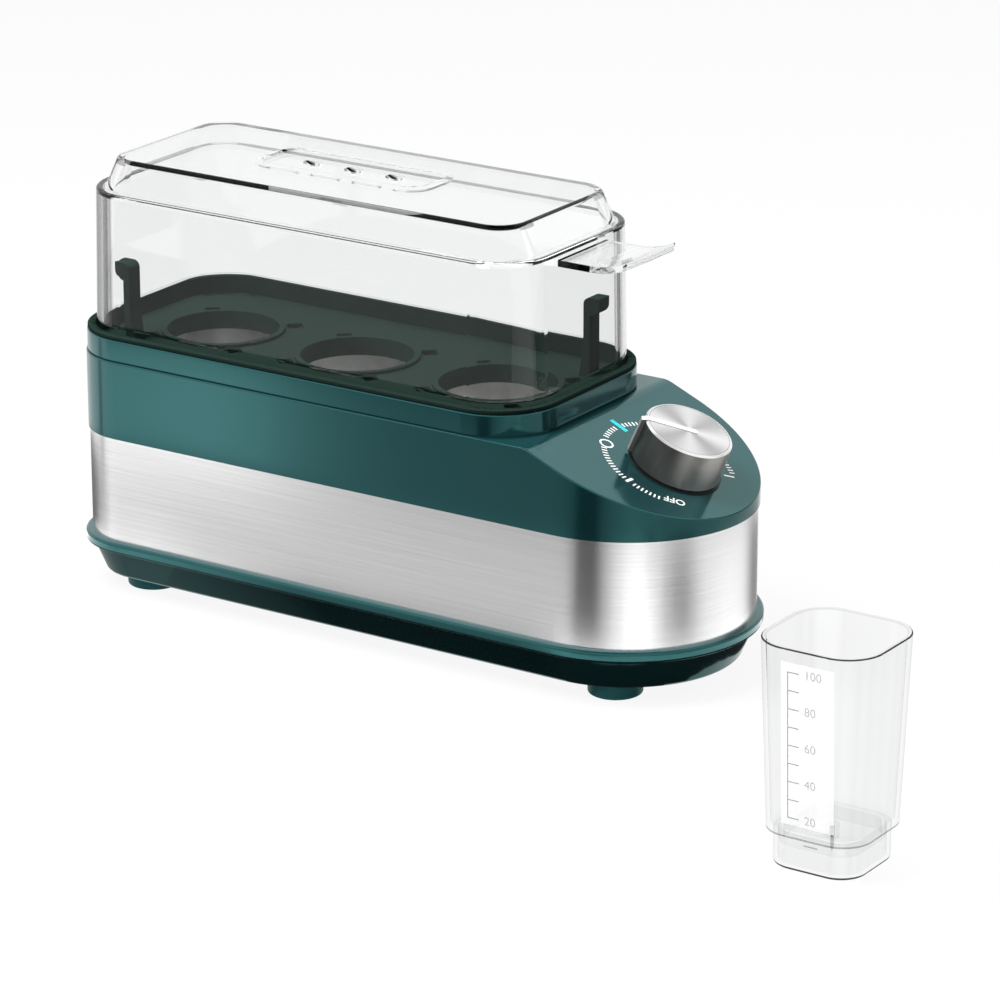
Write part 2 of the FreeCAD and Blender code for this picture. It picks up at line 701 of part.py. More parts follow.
def heater_element():
    """The U-shaped tubular heater, pressed flat where it meets the pan."""
    y = HEATER_SPREAD
    z = HEATER_AXIS_Z
    path = Part.Wire([
        line(V(HEATER_FRONT_X, -y, z), V(HEATER_BACK_X, -y, z)),
        arc(V(HEATER_BACK_X, -y, z), V(HEATER_BACK_X - y, 0, z), V(HEATER_BACK_X, y, z)),
        line(V(HEATER_BACK_X, y, z), V(HEATER_FRONT_X, y, z)),
    ])
    section = Part.Wire(Part.makeCircle(HEATER_RADIUS, V(HEATER_FRONT_X, -y, z), V(1, 0, 0)))
    tube = path.makePipeShell([section], True, False)
    return tube.cut(box(RIM_BACK_X, NOSE_X, -HALF_WIDTH, HALF_WIDTH, PAN_UNDERSIDE, DECK))


def heater_ends(radius, x0, x1):
    """A pair of round pieces on the heater's two ends."""
    pieces = []
    for y in (-HEATER_SPREAD, HEATER_SPREAD):
        pieces.append(Part.makeCylinder(radius, x1 - x0, V(x0, y, HEATER_AXIS_Z), V(1, 0, 0)))
    return Part.makeCompound(pieces)


def heater_bushes():
    """The ceramic bushes that close the heater's ends."""
    return heater_ends(HEATER_RADIUS - HEATER_FLAT, HEATER_FRONT_X, HEATER_FRONT_X + BUSH_LENGTH)


def heater_pins():
    """The heater's connection pins."""
    return heater_ends(PIN_RADIUS, HEATER_FRONT_X + BUSH_LENGTH, HEATER_PIN_END_X)


def thermostat():
    """The disc thermostat against the pan, with two pins below."""
    bottom = PAN_UNDERSIDE - THERMOSTAT_HEIGHT
    can = cylinder(THERMOSTAT_RADIUS, bottom, PAN_UNDERSIDE, CHAMBER_X, 0)
    for side in (-1, 1):
        can = can.fuse(cylinder(THERMOSTAT_PIN_RADIUS, bottom - THERMOSTAT_PIN_LENGTH, bottom,
                                CHAMBER_X, side * THERMOSTAT_PIN_OFFSET))
    return can


def thermostat_bracket():
    """The strap that holds the thermostat up against the pan."""
    top = PAN_UNDERSIDE - THERMOSTAT_HEIGHT
    half = STUD_SPACING / 2 + BRACKET_END
    side = BRACKET_WIDTH / 2
    strap = box(CHAMBER_X - half, CHAMBER_X + half, -side, side, top - BRACKET_SHEET, top)
    for x in stud_places():
        strap = strap.cut(cylinder(STUD_RADIUS + SCREW_CLEARANCE, stud_end(), DECK, x, 0))
    return strap


def thermostat_nuts():
    """The two hexagon nuts under the bracket."""
    top = PAN_UNDERSIDE - THERMOSTAT_HEIGHT - BRACKET_SHEET
    nuts = []
    for x in stud_places():
        points = []
        for i in range(7):
            angle = math.radians(60 * i)
            points.append(V(x + NUT_RADIUS * math.cos(angle), NUT_RADIUS * math.sin(angle), top - NUT_HEIGHT))
        nut = prism(Part.makePolygon(points), NUT_HEIGHT)
        nuts.append(nut.cut(cylinder(STUD_RADIUS + SCREW_CLEARANCE, stud_end() - 1, DECK, x, 0)))
    return Part.makeCompound(nuts)


def thermal_fuse():
    """The thermal cut-out with its two end wires."""
    start = V(FUSE_X - FUSE_LENGTH / 2, FUSE_OFFSET_Y, FUSE_Z)
    body = Part.makeCylinder(FUSE_RADIUS, FUSE_LENGTH, start, V(1, 0, 0))
    length = FUSE_LENGTH + 2 * FUSE_WIRE_LENGTH
    wire_start = V(FUSE_X - length / 2, FUSE_OFFSET_Y, FUSE_Z)
    wire = Part.makeCylinder(FUSE_WIRE_RADIUS, length, wire_start, V(1, 0, 0))
    return body.fuse(wire)


def fuse_clip():
    """The spring clip that holds the cut-out against the pan."""
    x0 = FUSE_X - CLIP_WIDTH / 2
    x1 = FUSE_X + CLIP_WIDTH / 2
    y = FUSE_OFFSET_Y
    inner = FUSE_RADIUS + CLIP_CLEARANCE
    outer = inner + CLIP_SHEET
    start = V(x0, y, FUSE_Z)
    saddle = Part.makeCylinder(outer, CLIP_WIDTH, start, V(1, 0, 0))
    saddle = saddle.fuse(box(x0, x1, y - outer, y + outer, FUSE_Z, PAN_UNDERSIDE))
    saddle = saddle.cut(box(x0 - 1, x1 + 1, y - 2 * outer, y + 2 * outer, PAN_UNDERSIDE, DECK))
    tabs = box(x0, x1, y - outer - CLIP_TAB, y + outer + CLIP_TAB, PAN_UNDERSIDE - CLIP_SHEET, PAN_UNDERSIDE)
    clip = saddle.fuse(tabs)
    clip = clip.cut(Part.makeCylinder(inner, CLIP_WIDTH, start, V(1, 0, 0)))
    return clip.cut(box(x0 - 1, x1 + 1, y - inner, y + inner, FUSE_Z, DECK))


def timer_case():
    """The timer's round can with its two screw ears."""
    top = -PANEL_THICKNESS
    bottom = top - TIMER_DEPTH
    can = cylinder(TIMER_RADIUS, bottom, top)
    ear_top = top - TIMER_BOSS_LENGTH
    for side in (-1, 1):
        y = side * TIMER_EAR_OFFSET
        ear = cylinder(TIMER_EAR_RADIUS, ear_top - TIMER_EAR_THICKNESS, ear_top, 0, y)
        near, far = sorted((0, y))
        web = box(-TIMER_EAR_RADIUS, TIMER_EAR_RADIUS, near, far, ear_top - TIMER_EAR_THICKNESS, ear_top)
        can = can.fuse(ear).fuse(web)
    for side in (-1, 1):
        y = side * TIMER_EAR_OFFSET
        can = can.cut(cylinder(TIMER_EAR_RADIUS + COLLAR_FIT, ear_top, top + 1, 0, y))
        can = can.cut(cylinder(TIMER_SCREW_RADIUS + SCREW_CLEARANCE, bottom, top, 0, y))
    can = can.cut(cylinder(TIMER_RADIUS - TIMER_WALL - COLLAR_FIT, bottom - 1, top - TIMER_WALL))
    can = can.cut(cylinder(SHAFT_RADIUS + SHAFT_CLEARANCE, bottom, top + 1))
    return on_dial(can)


def contact_places():
    """Places of the timer's two contact blades, down the slope and across it."""
    return [(-CONTACT_OFFSET, -CONTACT_OFFSET), (-CONTACT_OFFSET, CONTACT_OFFSET)]


def contact_blade(u, v, grow, w0, w1):
    """One upright contact blade, or the slot for it."""
    return box(u - CONTACT_SHEET / 2 - grow, u + CONTACT_SHEET / 2 + grow,
               v - CONTACT_WIDTH / 2 - grow, v + CONTACT_WIDTH / 2 + grow, w0, w1)


def timer_cover():
    """The plate that closes the timer, slotted for the contact blades."""
    top = -PANEL_THICKNESS - TIMER_DEPTH
    plate = cylinder(TIMER_RADIUS, top - TIMER_WALL, top)
    for u, v in contact_places():
        plate = plate.cut(contact_blade(u, v, SCREW_CLEARANCE, top - 2 * TIMER_WALL, top + TIMER_WALL))
    return on_dial(plate)


def cam_bottom():
    """The cam's lower face, along the dial's axis."""
    return -PANEL_THICKNESS - TIMER_WALL - CAM_END_GAP - CAM_THICKNESS


def timer_contacts():
    """The two contact blades through the timer's cover."""
    top = cam_bottom() - CONTACT_GAP
    blades = [contact_blade(u, v, 0, CONTACT_TIP_W, top) for u, v in contact_places()]
    return on_dial(Part.makeCompound(blades))


def timer_screws():
    """The two screws that hold the timer to the panel's bosses."""
    screws = []
    seat = -PANEL_THICKNESS - TIMER_BOSS_LENGTH - TIMER_EAR_THICKNESS
    for side in (-1, 1):
        y = side * TIMER_EAR_OFFSET
        head = cylinder(TIMER_SCREW_HEAD_RADIUS, seat - TIMER_SCREW_HEAD_HEIGHT, seat, 0, y)
        shank = cylinder(TIMER_SCREW_RADIUS, seat, seat + TIMER_EAR_THICKNESS + TIMER_SCREW_BITE, 0, y)
        screws.append(head.fuse(shank))
    return on_dial(Part.makeCompound(screws))


def d_shaft(radius, w0, w1):
    """A round bar with one flat, along the dial's axis."""
    bar = cylinder(radius, w0, w1)
    return bar.cut(box(radius - SHAFT_FLAT, 2 * radius, -radius, radius, w0 - 1, w1 + 1))


def timer_shaft():
    """The timer's shaft: round in its bearing, with a flat inside the knob."""
    low = cam_bottom() - CONTACT_GAP
    round_part = cylinder(SHAFT_RADIUS, low, WASHER_THICKNESS + KNOB_GAP)
    flat_part = d_shaft(SHAFT_RADIUS, WASHER_THICKNESS + KNOB_GAP, SHAFT_IN_KNOB)
    return on_dial(round_part.fuse(flat_part))


def timer_cam():
    """The cam that opens the contacts at zero, with one notch in its edge."""
    cam = ring(CAM_RADIUS, SHAFT_RADIUS + KNOB_FIT, cam_bottom(), cam_bottom() + CAM_THICKNESS)
    notch = cylinder(CAM_NOTCH, cam_bottom() - 1, cam_bottom() + CAM_THICKNESS + 1, CAM_RADIUS, 0)
    return on_dial(cam.cut(notch))


def dial_washer():
    """The dark washer under the knob."""
    return on_dial(ring(WASHER_RADIUS, PANEL_HOLE_RADIUS, 0, WASHER_THICKNESS))


def knob_bottom():
    """The knob's lower face, along the dial's axis."""
    return WASHER_THICKNESS + KNOB_GAP


def knob_radius(w):
    """The knob's outer radius at a height along the dial's axis."""
    share = (w - knob_bottom()) / (KNOB_HEIGHT - knob_bottom())
    return KNOB_BASE_RADIUS + (KNOB_TOP_RADIUS - KNOB_BASE_RADIUS) * share


def knob_shell():
    """The turned metal cap: side wall, bright chamfer and flat top, with a slot for the pointer."""
    low = knob_bottom()
    shell = Part.makeCone(KNOB_BASE_RADIUS, KNOB_TOP_RADIUS, KNOB_HEIGHT - low, V(0, 0, low), V(0, 0, 1))
    shell = shell.makeChamfer(KNOB_CHAMFER, level_edges(shell, KNOB_HEIGHT))
    shell = shell.cut(cylinder(KNOB_TOP_RADIUS - KNOB_SKIN, low - 1, KNOB_HEIGHT - KNOB_SKIN))
    return on_dial(shell.cut(pointer_strip(KNOB_FIT)))


def knob_core():
    """The moulded hub inside the cap, with its D-shaped bore."""
    low = knob_bottom()
    hub = cylinder(KNOB_TOP_RADIUS - KNOB_SKIN - KNOB_FIT, low, KNOB_HEIGHT - KNOB_SKIN)
    hub = hub.cut(d_shaft(SHAFT_RADIUS + KNOB_FIT, low - 1, SHAFT_IN_KNOB + KNOB_FIT))
    return on_dial(hub)


def pointer_strip(grow):
    """The pointer's strip over the top and down the side, or the slot for it."""
    half = POINTER_WIDTH / 2 + grow
    low = knob_bottom() + POINTER_FOOT_GAP
    start = -POINTER_PAST - grow
    edge = KNOB_TOP_RADIUS - KNOB_CHAMFER
    profile = [
        V(start, -half, KNOB_HEIGHT + POINTER_PROUD),
        V(edge, -half, KNOB_HEIGHT + POINTER_PROUD),
        V(KNOB_TOP_RADIUS + POINTER_RISE, -half, KNOB_HEIGHT - KNOB_CHAMFER),
        V(KNOB_BASE_RADIUS + POINTER_RISE, -half, low - grow),
        V(KNOB_TOP_RADIUS - POINTER_INLAY - grow, -half, low - grow),
        V(KNOB_TOP_RADIUS - POINTER_INLAY - grow, -half, KNOB_HEIGHT - POINTER_INLAY - grow),
        V(start, -half, KNOB_HEIGHT - POINTER_INLAY - grow),
        V(start, -half, KNOB_HEIGHT + POINTER_PROUD),
    ]
    strip = Part.Face(Part.makePolygon(profile)).extrude(V(0, 2 * half, 0))
    strip.rotate(V(0, 0, 0), V(0, 0, 1), POINTER_ANGLE)
    return strip


def knob_pointer():
    """The pointer let into the knob's top and side."""
    return on_dial(pointer_strip(0))


def terminal_block():
    """The moulded block on the tub's floor where the supply is joined."""
    block = box(BLOCK_X - BLOCK_LENGTH / 2, BLOCK_X + BLOCK_LENGTH / 2, -BLOCK_WIDTH / 2, BLOCK_WIDTH / 2,
                TUB_FLOOR, TUB_FLOOR + BLOCK_HEIGHT)
    for y in block_ways():
        top = TUB_FLOOR + BLOCK_HEIGHT
        radius = BLOCK_SCREW_RADIUS + SCREW_CLEARANCE
        block = block.cut(cylinder(radius, top - BLOCK_SCREW_DEPTH, top + 1, BLOCK_X, y))
    return block


def block_ways():
    """Y positions of the block's ways."""
    return (-BLOCK_WAY_SPACING, 0.0, BLOCK_WAY_SPACING)


def terminal_screws():
    """The block's clamping screws."""
    top = TUB_FLOOR + BLOCK_HEIGHT
    bottom = top - BLOCK_SCREW_DEPTH
    return Part.makeCompound([cylinder(BLOCK_SCREW_RADIUS, bottom, top, BLOCK_X, y) for y in block_ways()])


def cord_inlet():
    """The rubber inlet bush in the back wall, with an open bore."""
    outer_face = BACK_X + BAND_INSET
    inner_face = BACK_X + INNER_INSET
    axis = V(1, 0, 0)
    start = V(outer_face - INLET_FLANGE, 0, INLET_HEIGHT)
    bush = Part.makeCylinder(INLET_NECK_RADIUS, inner_face - outer_face + 2 * INLET_FLANGE, start, axis)
    bush = bush.fuse(Part.makeCylinder(INLET_FLANGE_RADIUS, INLET_FLANGE, start, axis))
    inside = V(inner_face, 0, INLET_HEIGHT)
    bush = bush.fuse(Part.makeCylinder(INLET_FLANGE_RADIUS, INLET_FLANGE, inside, axis))
    return bush.cut(inlet_bore(INLET_BORE_RADIUS))


def lead(points):
    """A wire along straight runs joined by round bends."""
    edges = []
    start = points[0]
    for before, at, after in zip(points, points[1:], points[2:]):
        into = (at - before).normalize()
        out = (after - at).normalize()
        turn = math.acos(max(-1.0, min(1.0, into.dot(out))))
        reach = LEAD_BEND * math.tan(turn / 2)
        first = at - into * reach
        last = at + out * reach
        inward = (out - into).normalize()
        middle = at + inward * (LEAD_BEND / math.cos(turn / 2) - LEAD_BEND)
        edges.append(line(start, first))
        edges.append(arc(first, middle, last))
        start = last
    edges.append(line(start, points[-1]))
    path = Part.Wire(edges)
    section = Part.Wire(Part.makeCircle(LEAD_RADIUS, points[0], points[1] - points[0]))
    return path.makePipeShell([section], True, False)


def down_from_contact(index, z):
    """A contact blade's tip, and the point below it in line with the blade at a height."""
    u, v = contact_places()[index]
    tip = dial_point(u, v, CONTACT_TIP_W)
    below = tip - PANEL_NORMAL * ((tip.z - z) / PANEL_NORMAL.z)
    return tip, below


def thermostat_pin_end(side):
    """The lower end of one thermostat pin."""
    z = PAN_UNDERSIDE - THERMOSTAT_HEIGHT - THERMOSTAT_PIN_LENGTH
    return V(CHAMBER_X, side * THERMOSTAT_PIN_OFFSET, z)


def lead_supply():
    """From the terminal block to the timer."""
    tip, below = down_from_contact(0, LEAD_FLOOR_Z)
    return lead([V(BLOCK_X + BLOCK_LENGTH / 2, tip.y, LEAD_FLOOR_Z), below, tip])


def lead_timer():
    """From the timer to the thermostat."""
    pin = thermostat_pin_end(1)
    z = pin.z - LEAD_UPPER_DROP
    tip, below = down_from_contact(1, z)
    return lead([pin, V(pin.x, pin.y, z), V(below.x, tip.y, z), tip])


def lead_thermostat():
    """From the thermostat to the heater's first pin."""
    pin = thermostat_pin_end(-1)
    z = pin.z - LEAD_MIDDLE_DROP
    y = -HEATER_SPREAD
    turn_x = HEATER_PIN_END_X + LEAD_TURN_ROOM
    end = V(HEATER_PIN_END_X, y, HEATER_AXIS_Z)
    return lead([pin, V(pin.x, pin.y, z), V(turn_x, y, z), V(turn_x, y, HEATER_AXIS_Z), end])


def lead_heater():
    """From the heater's second pin back to the thermal cut-out."""
    z = HEATER_AXIS_Z
    turn_x = HEATER_PIN_END_X + LEAD_TURN_ROOM
    end_x = FUSE_X + FUSE_LENGTH / 2 + FUSE_WIRE_LENGTH
    approach = end_x + LEAD_TURN_ROOM
    return lead([
        V(HEATER_PIN_END_X, HEATER_SPREAD, z),
        V(turn_x, HEATER_SPREAD, z),
        V(turn_x, FUSE_OFFSET_Y, z),
        V(approach + LEAD_TURN_ROOM, FUSE_OFFSET_Y, z),
        V(approach, FUSE_OFFSET_Y, FUSE_Z),
        V(end_x, FUSE_OFFSET_Y, FUSE_Z),
    ])


def lead_return():
    """From the thermal cut-out down to the terminal block."""
    x = FUSE_X - FUSE_LENGTH / 2 - FUSE_WIRE_LENGTH
    turn_x = x - LEAD_TURN_ROOM
    return lead([
        V(x, FUSE_OFFSET_Y, FUSE_Z),
        V(turn_x, FUSE_OFFSET_Y, FUSE_Z),
        V(turn_x, FUSE_OFFSET_Y, LEAD_FLOOR_Z),
        V(BLOCK_X + BLOCK_LENGTH / 2 + LEAD_TURN_ROOM, BLOCK_WAY_SPACING, LEAD_FLOOR_Z),
        V(BLOCK_X + BLOCK_LENGTH / 2, BLOCK_WAY_SPACING, LEAD_FLOOR_Z),
    ])


def hook_profile():
    """The outline of one tray hook seen from the side, leaning out towards +X, with its tip at x = 0."""
    outer = -HOOK_LIP
    inner = outer - HOOK_THICKNESS
    foot = inner - HOOK_FOOT
    base = TRAY_TOP - TRAY_THICKNESS / 2
    top = TRAY_TOP + HOOK_HEIGHT
    nose = top - HOOK_LIP_NOSE
    under = top - HOOK_LIP_DROP
    round_start = top - HOOK_THICKNESS
    cut = 1 - math.sqrt(0.5)
    shoulder = V(inner + HOOK_THICKNESS * cut, 0, top - HOOK_THICKNESS * cut)
    belly = V(outer * cut, 0, nose - (nose - under) * (1 - cut))
    edges = [
        line(V(foot, 0, base), V(foot, 0, TRAY_TOP)),
        line(V(foot, 0, TRAY_TOP), V(inner, 0, TRAY_TOP + HOOK_FOOT_HEIGHT)),
        line(V(inner, 0, TRAY_TOP + HOOK_FOOT_HEIGHT), V(inner, 0, round_start)),
        arc(V(inner, 0, round_start), shoulder, V(outer, 0, top)),
        line(V(outer, 0, top), V(0, 0, top)),
        line(V(0, 0, top), V(0, 0, nose)),
        arc(V(0, 0, nose), belly, V(outer, 0, under)),
        line(V(outer, 0, under), V(outer, 0, base)),
        line(V(outer, 0, base), V(foot, 0, base)),
    ]
    return Part.Face(Part.Wire(edges))


def hook(side):
    """One lifting hook, on the diagonal of the tray."""
    shape = hook_profile().extrude(V(0, HOOK_WIDTH, 0))
    shape.translate(V(0, -HOOK_WIDTH / 2, 0))
    end = (RIM_FRONT_X - RIM_BACK_X) / 2
    shape.translate(V(end - HOOK_FROM_RIM, HOOK_OFFSET, 0))
    if side < 0:
        shape.rotate(V(0, 0, 0), V(0, 0, 1), 180)
    shape.translate(V(CHAMBER_X, 0, 0))
    return shape


def slot(x, angle):
    """One steam slot through the tray, outside an egg seat at an angle round it."""
    reach = EGG_SEAT_RADIUS + SEAT_LIP_WALL + STEAM_SLOT_GAP + STEAM_SLOT_LENGTH / 2
    bottom = SEAT - SEAT_LIP_DEPTH
    outline = rounded_outline(reach, 0, STEAM_SLOT_LENGTH, STEAM_SLOT_WIDTH, STEAM_SLOT_CORNER, bottom)
    shape = prism(outline, SEAT_LIP_DEPTH + 2 * TRAY_THICKNESS)
    shape.rotate(V(0, 0, 0), V(0, 0, 1), angle)
    shape.translate(V(x, 0, 0))
    return shape


def egg_tray():
    """The lift-out tray: plate, edge over the rim, lipped egg seats, steam slots and two hooks."""
    edge = prism(rim_outline(TRAY_EDGE_INSET, RIM_TOP), TRAY_EDGE_THICKNESS)
    edge = rounded_at(edge, TRAY_EDGE_ROUND, RIM_TOP, TRAY_EDGE_TOP)
    tray = prism(rim_outline(TRAY_INSET, SEAT), TRAY_EDGE_TOP - SEAT).fuse(edge)
    tray = tray.cut(prism(rim_outline(TRAY_INSET + TRAY_RIM_WALL, TRAY_TOP), TRAY_EDGE_TOP))
    tray = tray.fuse(hook(1)).fuse(hook(-1))
    for x in egg_places():
        lip = EGG_SEAT_RADIUS + SEAT_LIP_WALL
        tray = tray.fuse(cylinder(lip, SEAT - SEAT_LIP_DEPTH, TRAY_TOP + SEAT_BEAD, x, 0))
    for x in egg_places():
        tray = tray.cut(cylinder(EGG_SEAT_RADIUS, SEAT - SEAT_LIP_DEPTH - 1, TRAY_TOP + SEAT_BEAD + 1, x, 0))
    for x in egg_places():
        for angle in (45, 135, 225, 315):
            tray = tray.cut(slot(x, angle))
    return tray.removeSplitter()


def lid_tab():
    """The lifting tab: a plate that curls up at its tip, with round corners."""
    top = LID_SHOULDER - TAB_BELOW_SHOULDER
    root = RIM_FRONT_X - LID_INSET - LID_DRAFT - LID_WALL / 2
    tip = RIM_FRONT_X - LID_INSET - LID_DRAFT + TAB_REACH
    bend = (root + tip) / 2
    run = tip - bend
    radius = (run * run + TAB_CURL * TAB_CURL) / (2 * TAB_CURL)
    sweep = math.asin(run / radius)

    def curl(r, angle):
        return V(bend + r * math.sin(angle), 0, top + radius - r * math.cos(angle))

    low = radius + TAB_THICKNESS
    edges = [
        line(V(root, 0, top), V(bend, 0, top)),
        arc(curl(radius, 0), curl(radius, sweep / 2), curl(radius, sweep)),
        line(curl(radius, sweep), curl(low, sweep)),
        arc(curl(low, sweep), curl(low, sweep / 2), curl(low, 0)),
        line(V(bend, 0, top - TAB_THICKNESS), V(root, 0, top - TAB_THICKNESS)),
        line(V(root, 0, top - TAB_THICKNESS), V(root, 0, top)),
    ]
    plate = Part.Face(Part.Wire(edges)).extrude(V(0, TAB_WIDTH, 0))
    plate.translate(V(0, -TAB_WIDTH / 2, 0))
    reach = curl(low, sweep).x - root
    trim = rounded_outline(root, 0, 2 * reach, TAB_WIDTH, TAB_CORNER, top - 3 * TAB_THICKNESS)
    return plate.common(prism(trim, 6 * TAB_THICKNESS + TAB_CURL))


def lid_blocks(shrink, bottom, shoulder, top):
    """The lid's lower box and upper tier as two solids, shrunk by a wall."""
    inset = LID_INSET + shrink
    lower = loft([rim_outline(inset, bottom), rim_outline(inset + LID_DRAFT, shoulder)])
    tier = loft([
        rim_outline(inset + LID_DRAFT + LID_LEDGE, shoulder),
        rim_outline(inset + LID_DRAFT + LID_LEDGE + LID_TIER_SLOPE, top),
    ])
    return lower, tier


def recess_outline(grow, z):
    """The plan of the shallow recess in the lid's top."""
    return rounded_outline(CHAMBER_X + RECESS_SHIFT_X, RECESS_SHIFT_Y, RECESS_LENGTH + 2 * grow,
                           RECESS_WIDTH + 2 * grow, RECESS_RADIUS + grow, z)


def lid():
    """The clear two-tier lid with its foot flange, tab, recess and steam holes."""
    lower, tier = lid_blocks(0, TRAY_TOP, LID_SHOULDER, LID_TOP)
    lower = rounded_at(lower, LID_SHOULDER_EDGE, LID_SHOULDER)
    tier = rounded_at(tier, LID_TOP_EDGE, LID_TOP)
    flange = prism(rim_outline(LID_INSET - LID_FLANGE_REACH, TRAY_EDGE_TOP), LID_FLANGE_THICKNESS)
    flange = rounded_at(flange, LID_FLANGE_EDGE, TRAY_EDGE_TOP + LID_FLANGE_THICKNESS)
    shell = lower.fuse(tier).fuse(flange)
    inner_lower, inner_tier = lid_blocks(LID_WALL, TRAY_TOP, LID_SHOULDER - LID_WALL, LID_TOP - LID_WALL)
    shell = shell.cut(inner_lower).cut(inner_tier)
    floor = LID_TOP - RECESS_DEPTH
    shell = shell.fuse(prism(recess_outline(LID_WALL, floor - LID_WALL), LID_WALL + RECESS_DEPTH / 2))
    shell = shell.cut(prism(recess_outline(0, floor), 2 * RECESS_DEPTH))
    first = CHAMBER_X + RECESS_SHIFT_X - STEAM_HOLE_PITCH * (STEAM_HOLE_COUNT - 1) / 2
    for i in range(STEAM_HOLE_COUNT):
        x = first + STEAM_HOLE_PITCH * i
        shell = shell.cut(cylinder(STEAM_HOLE_RADIUS, LID_SHOULDER, LID_TOP + 1, x, RECESS_SHIFT_Y))
    return shell.fuse(lid_tab()).removeSplitter()


def square_outline(side, radius, z):
    """A rounded square about the cup's axis."""
    return rounded_outline(CUP_X, CUP_Y, side, side, radius, z)


def measuring_cup():
    """The clear square cup with a short spigot below its floor."""
    outer = loft([
        square_outline(CUP_LOW_SIDE, CUP_LOW_RADIUS, CUP_FLOOR_BOTTOM),
        square_outline(CUP_RIM_SIDE, CUP_RIM_RADIUS, CUP_TOP),
    ])
    grow = (CUP_RIM_SIDE - CUP_LOW_SIDE) / CUP_BODY_HEIGHT * CUP_FLOOR
    low_side = CUP_LOW_SIDE + grow - 2 * CUP_WALL
    hollow = loft([
        square_outline(low_side, CUP_LOW_RADIUS - CUP_WALL, CUP_FLOOR_BOTTOM + CUP_FLOOR),
        square_outline(CUP_RIM_SIDE - 2 * CUP_WALL, CUP_RIM_RADIUS - CUP_WALL, CUP_TOP),
    ])
    cup = outer.cut(hollow)
    cup = rounded_at(cup, CUP_RIM_EDGE, CUP_TOP)
    side = CAP_SIDE - 2 * CAP_WALL - 2 * CAP_CLEARANCE
    radius = CAP_RADIUS - CAP_WALL - CAP_CLEARANCE
    low = CUP_FLOOR_BOTTOM - SPIGOT_DEPTH
    spigot = prism(square_outline(side, radius, low), SPIGOT_DEPTH + CUP_FLOOR / 2)
    inner = prism(square_outline(side - 2 * SPIGOT_WALL, radius - SPIGOT_WALL, low), SPIGOT_DEPTH)
    return cup.fuse(spigot.cut(inner)).removeSplitter()


def pin_cap():
    """The clear cap that covers the pin and forms the cup's foot."""
    outer = prism(square_outline(CAP_SIDE, CAP_RADIUS, 0), CAP_HEIGHT)
    outer = rounded_at(outer, CAP_EDGE, 0)
    inner = square_outline(CAP_SIDE - 2 * CAP_WALL, CAP_RADIUS - CAP_WALL, CAP_WALL)
    return outer.cut(prism(inner, CAP_HEIGHT))


def pin_holder():
    """The small boss under the cup's floor that grips the pin."""
    low = CUP_FLOOR_BOTTOM - PIN_HOLDER_LENGTH
    boss = cylinder(PIN_HOLDER_RADIUS, low, CUP_FLOOR_BOTTOM - CAP_SEAM, CUP_X, CUP_Y)
    return boss.cut(cylinder(NEEDLE_RADIUS, low - 1, low + NEEDLE_GRIP, CUP_X, CUP_Y))


def piercing_pin():
    """The pointed steel pin for the egg's shell."""
    top = CUP_FLOOR_BOTTOM - PIN_HOLDER_LENGTH + NEEDLE_GRIP
    tip = top - NEEDLE_LENGTH
    shank = cylinder(NEEDLE_RADIUS, tip + NEEDLE_POINT, top, CUP_X, CUP_Y)
    point = Part.makeCone(0, NEEDLE_RADIUS, NEEDLE_POINT, V(CUP_X, CUP_Y, tip), V(0, 0, 1))
    return shank.fuse(point)


os.makedirs("parts", exist_ok=True)

PIECES = {
    "base_tub": base_tub,
    "base_screws": base_screws,
    "steel_band": steel_band,
    "upper_housing": upper_housing,
    "chamber_collar": chamber_collar,
    "collar_screws": collar_screws,
    "pan_gasket": pan_gasket,
    "water_pan": water_pan,
    "heater_element": heater_element,
    "heater_bushes": heater_bushes,
    "heater_pins": heater_pins,
    "thermostat": thermostat,
    "thermostat_bracket": thermostat_bracket,
    "thermostat_nuts": thermostat_nuts,
    "thermal_fuse": thermal_fuse,
    "fuse_clip": fuse_clip,
    "timer_case": timer_case,
    "timer_cover": timer_cover,
    "timer_contacts": timer_contacts,
    "timer_screws": timer_screws,
    "timer_shaft": timer_shaft,
    "timer_cam": timer_cam,
    "dial_washer": dial_washer,
    "knob_shell": knob_shell,
    "knob_core": knob_core,
    "knob_pointer": knob_pointer,
    "terminal_block": terminal_block,
    "terminal_screws": terminal_screws,
    "cord_inlet": cord_inlet,
    "lead_supply": lead_supply,
    "lead_timer": lead_timer,
    "lead_thermostat": lead_thermostat,
    "lead_heater": lead_heater,
    "lead_return": lead_return,
    "egg_tray": egg_tray,
    "lid": lid,
    "measuring_cup": measuring_cup,
    "pin_cap": pin_cap,
    "pin_holder": pin_holder,
    "piercing_pin": piercing_pin,
}

for name, make in PIECES.items():
    export(name, make())

for name, (x, y) in foot_places().items():
    export("foot_" + name, foot(x, y))
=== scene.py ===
"""Looks of the egg cooker: finishes, dial and cup print, studio light and camera."""
import json
import math

import bpy
from mathutils import Matrix, Vector

